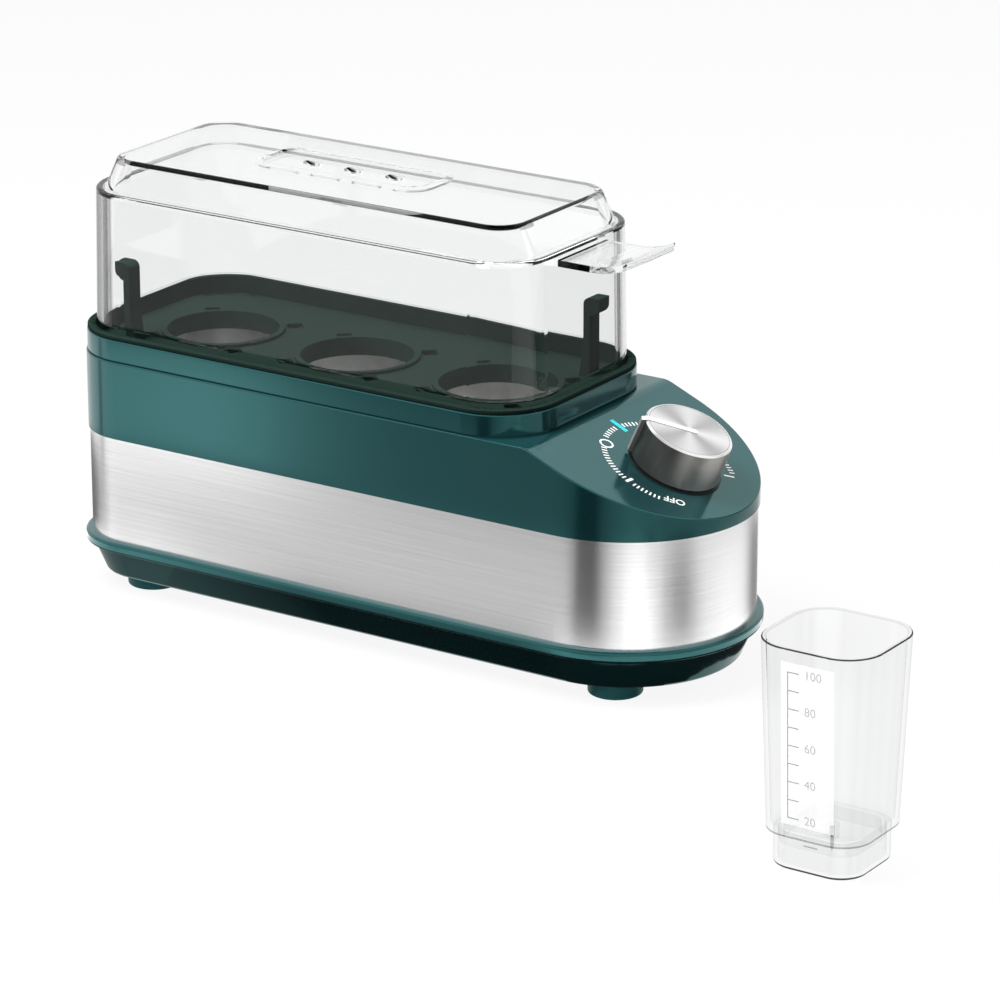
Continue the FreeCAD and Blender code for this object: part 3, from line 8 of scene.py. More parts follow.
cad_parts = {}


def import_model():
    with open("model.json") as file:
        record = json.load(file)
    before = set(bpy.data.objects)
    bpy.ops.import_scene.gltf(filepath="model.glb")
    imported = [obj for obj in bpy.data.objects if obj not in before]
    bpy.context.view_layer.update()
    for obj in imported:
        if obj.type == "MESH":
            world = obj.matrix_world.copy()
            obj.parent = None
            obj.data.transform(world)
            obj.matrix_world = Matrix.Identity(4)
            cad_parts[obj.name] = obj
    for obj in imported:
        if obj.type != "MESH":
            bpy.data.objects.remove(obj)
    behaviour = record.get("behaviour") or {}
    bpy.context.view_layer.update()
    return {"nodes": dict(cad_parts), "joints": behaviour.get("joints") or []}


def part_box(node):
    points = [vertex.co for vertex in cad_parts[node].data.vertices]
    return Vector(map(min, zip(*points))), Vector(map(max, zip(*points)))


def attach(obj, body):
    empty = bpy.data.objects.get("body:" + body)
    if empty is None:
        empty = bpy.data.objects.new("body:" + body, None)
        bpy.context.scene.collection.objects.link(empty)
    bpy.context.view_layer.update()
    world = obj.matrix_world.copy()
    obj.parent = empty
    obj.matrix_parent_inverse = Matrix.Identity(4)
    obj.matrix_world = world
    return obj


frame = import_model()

MM = 0.001
UP = (0.0, 0.0, 1.0)
ACROSS = (1.0, 0.0, 0.0)
LEVEL = (1.0, 1.0, 0.0)
FULL_WHITE = (1.0, 1.0, 1.0)

# Camera, in millimetres, with its clipping in metres
EYE = Vector((781.56, -1138.29, 512.10))
TARGET = Vector((28.22, -3.21, 43.48))
LENS = 171.73
SENSOR = 36.0
CLIP_START = 0.05
CLIP_END = 50.0

# Colours, linear red, green and blue
TEAL = (0.009, 0.046, 0.051)
TEAL_SHEEN = (0.30, 1.00, 1.00)
# Feet: the body's teal made far lighter, painted light that lifts them out of their shade
FOOT_LIT_TEAL = (0.080, 0.385, 0.405)
TRAY_GREEN = (0.020, 0.037, 0.030)
BAND_STEEL = (0.83, 0.83, 0.83)
STEEL = (0.62, 0.62, 0.61)
KNOB_TOP = (0.92, 0.92, 0.92)
# Knob: the side and groove are the top's metal painted darker as shade; the edge ring is painted brighter
# as a highlight
KNOB_SHADE_GREY = (0.36, 0.35, 0.335)
KNOB_RING = (0.97, 0.97, 0.97)
# Pointer: its white side painted grey as shade
POINTER_SIDE_SHADE = (0.30, 0.29, 0.28)
PAN_METAL = (0.74, 0.74, 0.73)
BLACK = (0.008, 0.008, 0.008)
WHITE = (0.90, 0.90, 0.90)
CYAN = (0.02, 0.72, 0.80)
SCALE_GREY = (0.52, 0.52, 0.52)
NUMBER_GREY = (0.72, 0.72, 0.72)
FROST = (1.0, 1.0, 1.0)
BRASS = (0.60, 0.38, 0.12)
CREAM = (0.62, 0.58, 0.47)
CERAMIC = (0.78, 0.76, 0.70)
WIRE_RED = (0.28, 0.02, 0.015)
SILICONE = (0.50, 0.50, 0.48)
LID_TONE = (0.955, 0.96, 0.96)
CUP_TONE = (0.985, 0.988, 0.988)
THROUGH_TONE = (0.93, 0.94, 0.94)

# Fine grain: noise scales per metre, its depth in millimetres, and how far the surface follows it
NOISE_DETAIL = 3.0
TINT_FROM = 0.3
TINT_TO = 0.7
SPREAD_FROM = 0.25
SPREAD_TO = 0.75
GRAIN_DEPTH = 0.02
MOULD_SCALE = 1800.0
MOULD_ROUGH_SPREAD = 0.02
METAL_TINT = 0.06
METAL_ROUGH_SPREAD = 0.05
METAL_RELIEF = 0.03
BRUSH_STRETCH = (18.0, 18.0, 2400.0)
BRUSH_DETAIL = 4.0
BRUSH_TINT = 0.045
BRUSH_ROUGH_SPREAD = 0.005
BRUSH_PULL = 0.7

# Clear plastic: refractive index, roughness and noise scale
LID_INDEX = 1.36
CUP_INDEX = 1.005
CLEAR_ROUGH = 0.01
CLEAR_ROUGH_SPREAD = 0.01
CLEAR_SCALE = 60.0

# Painted shade on a clear wall: share of light kept, from seen face on (0) to seen edge on (1)
CUP_SHADE_STOPS = ((0.0, 1.0), (0.07, 1.0), (0.14, 0.93), (0.21, 0.965), (0.36, 0.92), (0.48, 0.97),
             (0.8, 0.86), (1.0, 0.62))
LID_SHADE_STOPS = ((0.0, 1.0), (0.72, 1.0), (0.86, 0.90), (1.0, 0.50))
LID_BACK_SHADE_STOPS = ((0.0, 1.0), (0.32, 1.0), (0.36, 0.20), (0.42, 0.30), (0.50, 0.36), (0.62, 0.14),
                  (0.80, 0.01), (1.0, 0.05))
LID_FRONT_SHADE_STOPS = ((0.0, 1.0), (0.49, 1.0), (0.52, 0.12), (0.58, 0.32), (0.68, 0.55), (0.85, 0.85),
                   (1.0, 0.9))
FACING_BLEND = 0.5

# Painted shade at the cup's edges: share of light kept, and the heights of its painted dark lines in
# millimetres
CUP_OUTER_EDGE = 0.006
CUP_INNER_EDGE = 0.75
CUP_STEP_EDGE = 0.3
CUP_STEP_LINE = 0.6
CAP_FOOT_LINE = 0.9

# Upright part of a surface's direction, from 0 on a wall to 1 on a level face
CUP_EDGE_FROM = 0.25
CUP_EDGE_TO = 0.96
LID_WALL_TO = 0.2
LID_EDGE_TO = 0.985

# Places on the lid, in millimetres, for its painted corner shade, and how far its top edge is plainly
# see-through
LID_BACK = -84.0
LID_BACK_CORNER = 24.0
LID_FRONT = 29.0
LID_FRONT_CORNER = 17.5
LID_FLANGE_TOP = 85.9
LID_EDGE_BOTTOM = 135.5
LID_EDGE_ASIDE = 16.0
LID_EDGE_SOFT = 0.45

# Knob, in millimetres from its axis, degrees from straight down the slope, and shares of full brightness
# for painted highlight sectors
KNOB_REACH = 15.0
KNOB_RING_INNER = 12.6
KNOB_GROOVE = 0.12
TOP_SECTORS = 4
TOP_HIGHLIGHT_ANGLE = 32.0
TOP_DARKEST = 0.66
SIDE_SECTORS = 2
SIDE_HIGHLIGHT_ANGLE = -8.0
SIDE_DARKEST = 0.34
TURNING_SCALE = 7000.0
TURNING_ROUGH = (0.31, 0.37)
TURNING_PULL = 0.85
POINTER_ROUGH = (0.33, 0.37)
# Part of a surface's direction along the dial's axis from which it counts as the top
TOP_FROM = 0.4

# Print: lift off the surface in millimetres, painted glow, and the share of a letter's size that capitals
# take
PRINT_LIFT = 0.06
PRINT_GLOW = 0.3
LETTER_SHARE = 0.7
# Cup's scale panel: grain, tint, roughness, light let through, index and painted glow
FROST_SCALE = 900.0
FROST_TINT = 0.01
FROST_ROUGH = (0.35, 0.45)
FROST_THROUGH = 0.5
FROST_INDEX = 1.02
FROST_GLOW = 0.37

# Print on the dial, in millimetres and degrees from straight down the panel's slope towards +Y
RING_ALONG = -0.9
RING_ASIDE = -1.34
TICK_STEP = 3.79
TICK_FIRST = -65.5
TICK_LAST = -309.0
TICK_INNER = 19.7
TICK_OUTER = 21.45
TICK_WIDTH = 0.55
BOLD_ANGLE = -94.8
BOLD_WIDTH = 1.0
BOLD_INNER = 18.4
BOLD_OUTER = 21.6
BOLD_ROOM = 3.0
OVAL_ANGLE = -149.1
OVAL_RADIUS = 19.8
OVAL_LENGTH = 4.5
OVAL_WIDTH = 4.4
OVAL_LINE = 0.6
OVAL_ROOM = 7.5
OVAL_STEPS = 36
CYAN_ANGLE = -182.4
CYAN_RADIUS = 21.7
CYAN_LENGTH = 6.3
CYAN_WIDTH = 1.6
CYAN_CROSSING = -186.5
CYAN_ROOM = 3.8
END_ANGLE = -314.0
END_INNER = 17.4
END_OUTER = 20.7
END_WIDTH = 0.8
OFF_ANGLE = -56.2
OFF_RADIUS = 19.9
OFF_HEIGHT = 2.7
OFF_THICKEN = 0.06

# Print on the cup's near face, in millimetres from the cup's middle and above the worktop
LEDGE_ROOM = 0.2
PANEL_LEFT = -6.9
PANEL_RIGHT = 9.3
PANEL_BOTTOM = 14.3
PANEL_TOP = 61.4
SCALE_LEFT = -5.0
SCALE_BOTTOM = 16.4
SCALE_TOP = 58.6
SCALE_LINE = 0.32
SCALE_STEPS = 8
SCALE_TICK = 3.6
SCALE_FIRST = 20
SCALE_GAIN = 10
NUMBER_EVERY = 2
NUMBER_LEFT = 0.2
NUMBER_HEIGHT = 2.5
DASH_LEFT = -1.0
DASH_RIGHT = 3.4
DASH_HEIGHT = 8.2
DASH_LINE = 0.35

# Studio, in metres and shares of white
FLOOR_SIDE = 8.0
FLOOR_DIFFUSE = 0.08
FLOOR_GLOW = 0.91
FLOOR_SCALE = 3.0
FLOOR_TINT = 0.02
FLOOR_ROUGH = 0.9
AMBIENT = 0.16
CARD_LIFT = 0.0003
STRIP_LIFT = 0.0006

# Soft square lights, in metres and watts
LIGHT_AIM = (0.0, 0.0, 0.06)
KEY_PLACE = (-0.30, -0.45, 1.00)
KEY_SIDE = 0.5
KEY_POWER = 15.0
TOP_PLACE = (0.1, 0.15, 1.2)
TOP_SIDE = 0.9
TOP_POWER = 3.0
BACK_PLACE = (0.6, 0.9, 0.7)
BACK_SIDE = 0.8
BACK_POWER = 5.0

# Level cards, in metres: left, right, near and far; and shares of white
LID_SHADE = (-0.45, 0.45, -0.62, -0.215)
LID_END_SHADE = (0.12, 0.45, 0.10, 0.50)
EDGE_SHADE = (0.10, 0.60, 0.10, 0.80)
OVERHEAD_SHADE = (-0.30, 0.45, -0.35, 0.30)
OVERHEAD_HEIGHT = 0.9
DARK = 0.05
LID_END_DARK = 0.10
EDGE_DARK = 0.2

# Upright card beside the nose, in metres
ASIDE_LEFT = (0.30, 0.70)
ASIDE_RIGHT = (0.62, 0.45)
ASIDE_BOTTOM = 0.25
ASIDE_TOP = 0.75

# Body, in millimetres and degrees, for the floor that its walls reflect
BODY_BACK = -111.0
BODY_FRONT = 111.0
BODY_HALF_WIDTH = 40.0
BACK_RADIUS = 21.0
NOSE_START = 59.0
TUB_LEAN = 21.4
FLANGE_BOTTOM = 14.2
FLANGE_TOP = 17.6
BAND_TOP = 51.3
RIM_HEIGHT = 84.4
TUB_GLOW_BOTTOM = -14.0
TUB_GLOW_TOP = 15.0
TUB_FAR_BOTTOM = 3.0

# Reflected floor along each belt: degrees from the near side, or X in millimetres, and a share of white
BACK_TURNS = range(50, 0, -10)
NOSE_TURNS = range(10, 120, 10)
TUB_BACK_GLOW = 0.5
TUB_SIDE = ((-88, 0.46), (-60, 0.26), (-20, 0.04))
TUB_NOSE_START = (0, 0.02)
TUB_NOSE_GLOW = 0.04
FLANGE_BACK_GLOW = 2.1
FLANGE_SIDE = ((-80, 2.1), (-20, 0.65))
FLANGE_NOSE_START = (0, 0.6)
FLANGE_NOSE_GLOW = 2.2
BAND_BACK = ((60, 0.15), (40, 0.15), (32, 0.18), (24, 0.40), (16, 0.56), (8, 0.88))
BAND_SIDE = ((-88, 0.79), (-60, 0.67), (-30, 0.68), (10, 0.67), (40, 0.66))
BAND_NOSE = ((0, 0.66), (7, 0.62), (10, 0.42), (13, 0.08), (19, 0.04), (21, 0.18), (23, 0.42), (27, 0.90),
             (32, 1.35), (36, 1.50), (41, 1.35), (45, 0.92), (48, 0.55), (52, 0.30), (56, 0.22), (60, 0.42),
             (64, 0.74), (68, 0.96), (74, 1.10), (80, 1.18), (88, 1.14), (94, 1.02), (98, 0.70),
             (102, 0.38), (105, 0.28), (115, 0.35))
TEAL_BACK = ((40, 1.2), (20, 1.4), (16, 0.5), (12, 1.5))
TEAL_SIDE = ((-88, 1.65), (-55, 1.90), (-35, 1.60), (-20, 1.05), (0, 0.68), (20, 0.50), (40, 0.46))
TEAL_NOSE = ((0, 0.42), (6, 0.40), (10, 0.30), (13, 0.0), (19, 0.0), (23, 0.38), (27, 0.62), (34, 0.90),
             (42, 0.80), (60, 0.75), (90, 0.80), (110, 0.80))

# Sockets of a Mix node that mixes colours
MIX_FACTOR = 0
MIX_FIRST = 6
MIX_SECOND = 7
MIX_RESULT = 2


# Steps in a material's node tree

def new_material(name):
    """A new material, its node tree and its Principled shader."""
    made = bpy.data.materials.new(name)
    made.use_nodes = True
    tree = made.node_tree
    return made, tree, tree.nodes["Principled BSDF"]


def opaque(colour):
    """A colour with full alpha, as sockets and ramps hold it."""
    return tuple(colour) + (1.0,)


def feed(tree, socket, given):
    """Link a node's output to a socket, or set the socket's own value."""
    if isinstance(given, bpy.types.NodeSocket):
        tree.links.new(given, socket)
    else:
        socket.default_value = given


def calculate(tree, operation, first, second=0.0):
    """A number worked out from numbers, each a constant or a link."""
    node = tree.nodes.new("ShaderNodeMath")
    node.operation = operation
    feed(tree, node.inputs[0], first)
    feed(tree, node.inputs[1], second)
    return node.outputs["Value"]


def over(tree, value, limit):
    """1 where a value is over a limit, else 0."""
    return calculate(tree, "GREATER_THAN", value, limit)


def under(tree, value, limit):
    """1 where a value is under a limit, else 0."""
    return calculate(tree, "LESS_THAN", value, limit)


def largest(tree, first, second):
    """The larger of two values."""
    return calculate(tree, "MAXIMUM", first, second)


def times(tree, first, *others):
    """The product of values; of tests, 1 where all of them are 1."""
    product = first
    for other in others:
        product = calculate(tree, "MULTIPLY", product, other)
    return product


def vector_node(tree, operation, first, second=None):
    """A node that works with vectors, each a constant or a link."""
    node = tree.nodes.new("ShaderNodeVectorMath")
    node.operation = operation
    feed(tree, node.inputs[0], first)
    if second is not None:
        feed(tree, node.inputs[1], second)
    return node


def vector_step(tree, operation, first, second):
    """A vector worked out from vectors."""
    return vector_node(tree, operation, first, second).outputs["Vector"]


def dot(tree, first, second):
    """The dot product of two vectors."""
    return vector_node(tree, "DOT_PRODUCT", first, second).outputs["Value"]


def vector_length(tree, vector):
    """A vector's length."""
    return vector_node(tree, "LENGTH", vector).outputs["Value"]


def shaded(tree, colour, share):
    """A colour times a brightness share."""
    scaled = vector_node(tree, "SCALE", colour)
    tree.links.new(share, scaled.inputs["Scale"])
    return scaled.outputs["Vector"]


def chosen(tree, pick, first, second):
    """The first colour where pick is 0, the second where it is 1."""
    node = tree.nodes.new("ShaderNodeMix")
    node.data_type = "RGBA"
    tree.links.new(pick, node.inputs[MIX_FACTOR])
    feed(tree, node.inputs[MIX_FIRST], first)
    feed(tree, node.inputs[MIX_SECOND], second)
    return node.outputs[MIX_RESULT]


def noise(tree, scale, stretch=(1.0, 1.0, 1.0), detail=NOISE_DETAIL):
    """A noise value over the piece, stretched along the axes."""
    place = tree.nodes.new("ShaderNodeTexCoord")
    mapping = tree.nodes.new("ShaderNodeMapping")
    mapping.inputs["Scale"].default_value = stretch
    texture = tree.nodes.new("ShaderNodeTexNoise")
    texture.inputs["Scale"].default_value = scale
    texture.inputs["Detail"].default_value = detail
    tree.links.new(place.outputs["Object"], mapping.inputs["Vector"])
    tree.links.new(mapping.outputs["Vector"], texture.inputs["Vector"])
    return texture.outputs["Fac"]


def tint(tree, value, colour, spread, target):
    """A colour that varies a little with a value."""
    node = tree.nodes.new("ShaderNodeValToRGB")
    dark, light = node.color_ramp.elements
    dark.position = TINT_FROM
    light.position = TINT_TO
    dark.color = opaque(c * (1 - spread) for c in colour)
    light.color = opaque(min(c * (1 + spread), 1.0) for c in colour)
    tree.links.new(value, node.inputs["Fac"])
    tree.links.new(node.outputs["Color"], target)


def between(tree, value, low, high, target):
    """A value spread over a new range."""
    spread = tree.nodes.new("ShaderNodeMapRange")
    spread.inputs["From Min"].default_value = SPREAD_FROM
    spread.inputs["From Max"].default_value = SPREAD_TO
    spread.inputs["To Min"].default_value = low
    spread.inputs["To Max"].default_value = high
    tree.links.new(value, spread.inputs["Value"])
    tree.links.new(spread.outputs["Result"], target)


def grain(tree, value, strength, target):
    """A fine relief on the surface."""
    bump = tree.nodes.new("ShaderNodeBump")
    bump.inputs["Strength"].default_value = strength
    bump.inputs["Distance"].default_value = GRAIN_DEPTH * MM
    tree.links.new(value, bump.inputs["Height"])
    tree.links.new(bump.outputs["Normal"], target)


def ramp(tree, value, stops):
    """A grey that follows a value through stops, each a position and a brightness."""
    node = tree.nodes.new("ShaderNodeValToRGB")
    marks = node.color_ramp.elements
    while len(marks) < len(stops):
        marks.new(0.5)
    for mark, (position, brightness) in zip(marks, stops):
        mark.position = position
        mark.color = opaque([brightness] * 3)
    tree.links.new(value, node.inputs["Fac"])
    return node.outputs["Color"]


def painted_outline_shade(tree, stops):
    """Painted shade: brightness that changes as a clear wall is seen more edge on."""
    layer = tree.nodes.new("ShaderNodeLayerWeight")
    layer.inputs["Blend"].default_value = FACING_BLEND
    return ramp(tree, layer.outputs["Facing"], stops)


def piece_place(tree):
    """A point's place on its piece, as outputs named X, Y and Z."""
    place = tree.nodes.new("ShaderNodeTexCoord")
    split = tree.nodes.new("ShaderNodeSeparateXYZ")
    tree.links.new(place.outputs["Object"], split.inputs["Vector"])
    return split.outputs


def piece_direction(tree):
    """The surface's direction in its piece's own frame."""
    return tree.nodes.new("ShaderNodeTexCoord").outputs["Normal"]


def upright_part(tree, direction):
    """How far a direction points up or down, from 0 to 1."""
    return calculate(tree, "ABSOLUTE", dot(tree, direction, UP))


def near_height(tree, middle, half):
    """1 where a place on the piece is close to a height, else 0."""
    height = piece_place(tree)["Z"]
    away = calculate(tree, "ABSOLUTE", calculate(tree, "SUBTRACT", height, middle))
    return under(tree, away, half)


# Plain materials

def moulding(name, colour, rough, gloss=0.5, sheen=FULL_WHITE, relief=0.02, spread=0.05):
    """A moulded plastic or rubber with a fine grain."""
    made, tree, shader = new_material(name)
    value = noise(tree, MOULD_SCALE)
    tint(tree, value, colour, spread, shader.inputs["Base Color"])
    between(tree, value, rough - MOULD_ROUGH_SPREAD, rough + MOULD_ROUGH_SPREAD, shader.inputs["Roughness"])
    grain(tree, value, relief, shader.inputs["Normal"])
    shader.inputs["Specular IOR Level"].default_value = gloss
    shader.inputs["Specular Tint"].default_value = opaque(sheen)
    return made


def metal(name, colour, rough, scale=500.0):
    """A plain satin metal."""
    made, tree, shader = new_material(name)
    value = noise(tree, scale)
    tint(tree, value, colour, METAL_TINT, shader.inputs["Base Color"])
    between(tree, value, rough - METAL_ROUGH_SPREAD, rough + METAL_ROUGH_SPREAD, shader.inputs["Roughness"])
    grain(tree, value, METAL_RELIEF, shader.inputs["Normal"])
    shader.inputs["Metallic"].default_value = 1.0
    return made


def brushed(name, colour, rough):
    """Sheet steel with very fine level brushing, so highlights run up and down."""
    made, tree, shader = new_material(name)
    value = noise(tree, scale=1.0, stretch=BRUSH_STRETCH, detail=BRUSH_DETAIL)
    tint(tree, value, colour, BRUSH_TINT, shader.inputs["Base Color"])
    between(tree, value, rough - BRUSH_ROUGH_SPREAD, rough + BRUSH_ROUGH_SPREAD, shader.inputs["Roughness"])
    upright = tree.nodes.new("ShaderNodeCombineXYZ")
    upright.inputs["Z"].default_value = 1.0
    tree.links.new(upright.outputs["Vector"], shader.inputs["Tangent"])
    shader.inputs["Metallic"].default_value = 1.0
    shader.inputs["Anisotropic"].default_value = BRUSH_PULL
    return made


def glowing(shader, colour, strength):
    """Painted light: a little glow from the print itself, so that it stays pale in shadow."""
    shader.inputs["Emission Color"].default_value = opaque(colour)
    shader.inputs["Emission Strength"].default_value = strength


def ink(name, colour, rough):
    """Thin print with a painted glow, so that it stays pale in shadow."""
    made = moulding(name, colour, rough)
    glowing(made.node_tree.nodes["Principled BSDF"], colour, PRINT_GLOW)
    return made


def frosted(name):
    """The cup's scale panel: white print that lets part of the light through, with a painted glow so that
    it reads white.
    """
    made, tree, shader = new_material(name)
    value = noise(tree, FROST_SCALE)
    tint(tree, value, FROST, FROST_TINT, shader.inputs["Base Color"])
    between(tree, value, *FROST_ROUGH, shader.inputs["Roughness"])
    shader.inputs["Transmission Weight"].default_value = FROST_THROUGH
    shader.inputs["IOR"].default_value = FROST_INDEX
    glowing(shader, FROST, FROST_GLOW)
    return made


# Clear lid and cup

def cup_painted_shade(tree, axis, step):
    """Painted shade and reflection: soft upright streaks, darker edges outside, and dark lines at the cap's
    foot and over the step.
    """
    place = tree.nodes.new("ShaderNodeNewGeometry")
    arm = vector_step(tree, "SUBTRACT", place.outputs["Position"], axis)
    outward = dot(tree, place.outputs["Normal"], vector_step(tree, "MULTIPLY", arm, LEVEL))
    slant = upright_part(tree, place.outputs["Normal"])
    entered = calculate(tree, "SUBTRACT", 1.0, place.outputs["Backfacing"])
    outside = times(tree, entered, over(tree, outward, 0.0))
    edge = times(tree, over(tree, slant, CUP_EDGE_FROM), under(tree, slant, CUP_EDGE_TO), entered)
    outer_edge = times(tree, edge, outside)
    inner_edge = calculate(tree, "SUBTRACT", edge, outer_edge)
    foot = times(tree, near_height(tree, 0.0, CAP_FOOT_LINE * MM), outside)
    half_line = CUP_STEP_LINE * MM / 2
    ledge = times(tree, near_height(tree, step + half_line, half_line), outside)
    loss = times(tree, largest(tree, outer_edge, foot), 1.0 - CUP_OUTER_EDGE)
    loss = calculate(tree, "ADD", loss, times(tree, inner_edge, 1.0 - CUP_INNER_EDGE))
    loss = largest(tree, loss, times(tree, ledge, 1.0 - CUP_STEP_EDGE))
    kept = calculate(tree, "SUBTRACT", 1.0, loss)
    return shaded(tree, painted_outline_shade(tree, CUP_SHADE_STOPS), kept)


def lid_painted_shade(tree):
    """Painted shade: greyer outlines, widest at the lid's rounded upright corners."""
    place = piece_place(tree)
    wall = under(tree, upright_part(tree, piece_direction(tree)), LID_WALL_TO)
    along = place["X"]
    aside = calculate(tree, "ABSOLUTE", place["Y"])
    back = times(tree, wall, under(tree, along, LID_BACK * MM), over(tree, aside, LID_BACK_CORNER * MM))
    front = times(tree, wall, over(tree, along, LID_FRONT * MM), over(tree, aside, LID_FRONT_CORNER * MM))
    share = chosen(tree, back, painted_outline_shade(tree, LID_SHADE_STOPS), painted_outline_shade(tree, LID_BACK_SHADE_STOPS))
    return chosen(tree, front, share, painted_outline_shade(tree, LID_FRONT_SHADE_STOPS))


def soft_lid(tree, bare):
    """Plain see-through at the lid's foot flange, and partly so at its rounded top edge."""
    place = piece_place(tree)
    rounded = under(tree, upright_part(tree, piece_direction(tree)), LID_EDGE_TO)
    high = over(tree, place["Z"], LID_EDGE_BOTTOM * MM)
    aside = over(tree, calculate(tree, "ABSOLUTE", place["Y"]), LID_EDGE_ASIDE * MM)
    edge = times(tree, rounded, high, aside)
    low = under(tree, place["Z"], LID_FLANGE_TOP * MM)
    part = largest(tree, low, times(tree, edge, LID_EDGE_SOFT))
    return largest(tree, bare, part)


def clear(name, tone, index, shade_of, soften=None):
    """A clear moulded plastic that lets light through to what it covers."""
    made, tree, shader = new_material(name)
    # Painted shade: the base colour is the tone times the given painted edge shading
    colour = vector_step(tree, "MULTIPLY", shade_of(tree), tone)
    tree.links.new(colour, shader.inputs["Base Color"])
    polish = noise(tree, CLEAR_SCALE)
    between(tree, polish, CLEAR_ROUGH, CLEAR_ROUGH + CLEAR_ROUGH_SPREAD, shader.inputs["Roughness"])
    shader.inputs["Transmission Weight"].default_value = 1.0
    shader.inputs["IOR"].default_value = index
    through = tree.nodes.new("ShaderNodeBsdfTransparent")
    through.inputs["Color"].default_value = opaque(THROUGH_TONE)
    path = tree.nodes.new("ShaderNodeLightPath")
    bare = largest(tree, path.outputs["Is Shadow Ray"], path.outputs["Is Diffuse Ray"])
    if soften:
        bare = soften(tree, bare)
    mix = tree.nodes.new("ShaderNodeMixShader")
    tree.links.new(bare, mix.inputs["Fac"])
    tree.links.new(shader.outputs["BSDF"], mix.inputs[1])
    tree.links.new(through.outputs["BSDF"], mix.inputs[2])
    tree.links.new(mix.outputs["Shader"], tree.nodes["Material Output"].inputs["Surface"])
    return made


# Knob

def dial_joint():
    """The dial's centre on the panel and its axis, from the frame."""
    for joint in frame["joints"]:
        if joint["name"] == "dial_turn":
            return Vector(joint["pos_m"]), Vector(joint["axis"]).normalized()


def dial_matrix():
    """The dial's own frame: down the slope, across, and out of the panel."""
    centre, axis = dial_joint()
    slope = Vector((axis.z, 0.0, -axis.x))
    across = axis.cross(slope)
    turn = Matrix((slope, across, axis)).transposed().to_4x4()
    return Matrix.Translation(centre) @ turn


def sectors(tree, arm, count, bright_angle, darkest):
    """Painted highlights and shade: bright and dark sectors round the dial's axis, in place of what turned
    metal reflects.
    """
    slope = dial_matrix().to_3x3().col[0]
    across = dial_matrix().to_3x3().col[1]
    angle = calculate(tree, "ARCTAN2", dot(tree, arm, across), dot(tree, arm, slope))
    turned = calculate(tree, "SUBTRACT", angle, math.radians(bright_angle))
    wave = calculate(tree, "COSINE", times(tree, turned, count))
    share = times(tree, wave, (1.0 - darkest) / 2)
    return calculate(tree, "ADD", share, (1.0 + darkest) / 2)


def knob_bands(tree, reach):
    """Colours of the knob's top outwards: the plain top, the groove painted dark as shade, and the edge
    ring painted bright as a highlight.
    """
    bands = tree.nodes.new("ShaderNodeValToRGB")
    bands.color_ramp.interpolation = "CONSTANT"
    marks = bands.color_ramp.elements
    marks[0].position = 0.0
    marks[0].color = opaque(KNOB_TOP)
    groove = marks.new((KNOB_RING_INNER - KNOB_GROOVE) / KNOB_REACH)
    groove.color = opaque(KNOB_SHADE_GREY)
    ring = marks.new(KNOB_RING_INNER / KNOB_REACH)
    ring.color = opaque(KNOB_RING)
    marks[-1].color = opaque(KNOB_RING)
    tree.links.new(calculate(tree, "DIVIDE", reach, KNOB_REACH * MM), bands.inputs["Fac"])
    return bands.outputs["Color"]


def turning(tree, reach):
    """Fine rings left by turning, as a noise over the distance from the axis."""
    rings = tree.nodes.new("ShaderNodeTexNoise")
    rings.noise_dimensions = "1D"
    rings.inputs["Scale"].default_value = TURNING_SCALE
    tree.links.new(reach, rings.inputs["W"])
    return rings.outputs["Fac"]


def spun(name):
    """Turned metal: fine rings on top, an edge ring painted bright as a highlight with a groove painted
    dark as shade, a side painted darker as shade, and painted highlight sectors.
    """
    made, tree, shader = new_material(name)
    centre, axis = dial_joint()
    place = tree.nodes.new("ShaderNodeNewGeometry")
    arm = vector_step(tree, "SUBTRACT", place.outputs["Position"], centre)
    reach = vector_length(tree, vector_step(tree, "CROSS_PRODUCT", axis, arm))
    # Painted highlights and shade: bright and dark sectors on the side and top, with the edge ring kept out
    # of the dark ones
    side_highlight_share = sectors(tree, arm, SIDE_SECTORS, SIDE_HIGHLIGHT_ANGLE, SIDE_DARKEST)
    top_highlight_share = sectors(tree, arm, TOP_SECTORS, TOP_HIGHLIGHT_ANGLE, TOP_DARKEST)
    top_highlight_share = largest(tree, top_highlight_share, over(tree, reach, KNOB_RING_INNER * MM))
    side = shaded(tree, KNOB_SHADE_GREY, side_highlight_share)
    top = shaded(tree, knob_bands(tree, reach), top_highlight_share)
    on_top = over(tree, dot(tree, place.outputs["Normal"], axis), TOP_FROM)
    tree.links.new(chosen(tree, on_top, side, top), shader.inputs["Base Color"])
    between(tree, turning(tree, reach), *TURNING_ROUGH, shader.inputs["Roughness"])
    shader.inputs["Metallic"].default_value = 1.0
    shader.inputs["Anisotropic"].default_value = TURNING_PULL
    tree.links.new(arm, shader.inputs["Tangent"])
    return made


def pointer(name):
    """The knob's pointer: white on top, and down the side a grey painted as shade."""
    made, tree, shader = new_material(name)
    place = tree.nodes.new("ShaderNodeNewGeometry")
    axis = dial_joint()[1]
    on_top = over(tree, dot(tree, place.outputs["Normal"], axis), TOP_FROM)
    colour = chosen(tree, on_top, opaque(POINTER_SIDE_SHADE), opaque(WHITE))
    tree.links.new(colour, shader.inputs["Base Color"])
    between(tree, noise(tree, MOULD_SCALE), *POINTER_ROUGH, shader.inputs["Roughness"])
    return made


# Printed pieces

def add_print(name, mesh, body, material):
    """A printed piece that rides on a body."""
    mesh.materials.clear()
    mesh.materials.append(material)
    piece = bpy.data.objects.new(name, mesh)
    bpy.context.scene.collection.objects.link(piece)
    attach(piece, body)


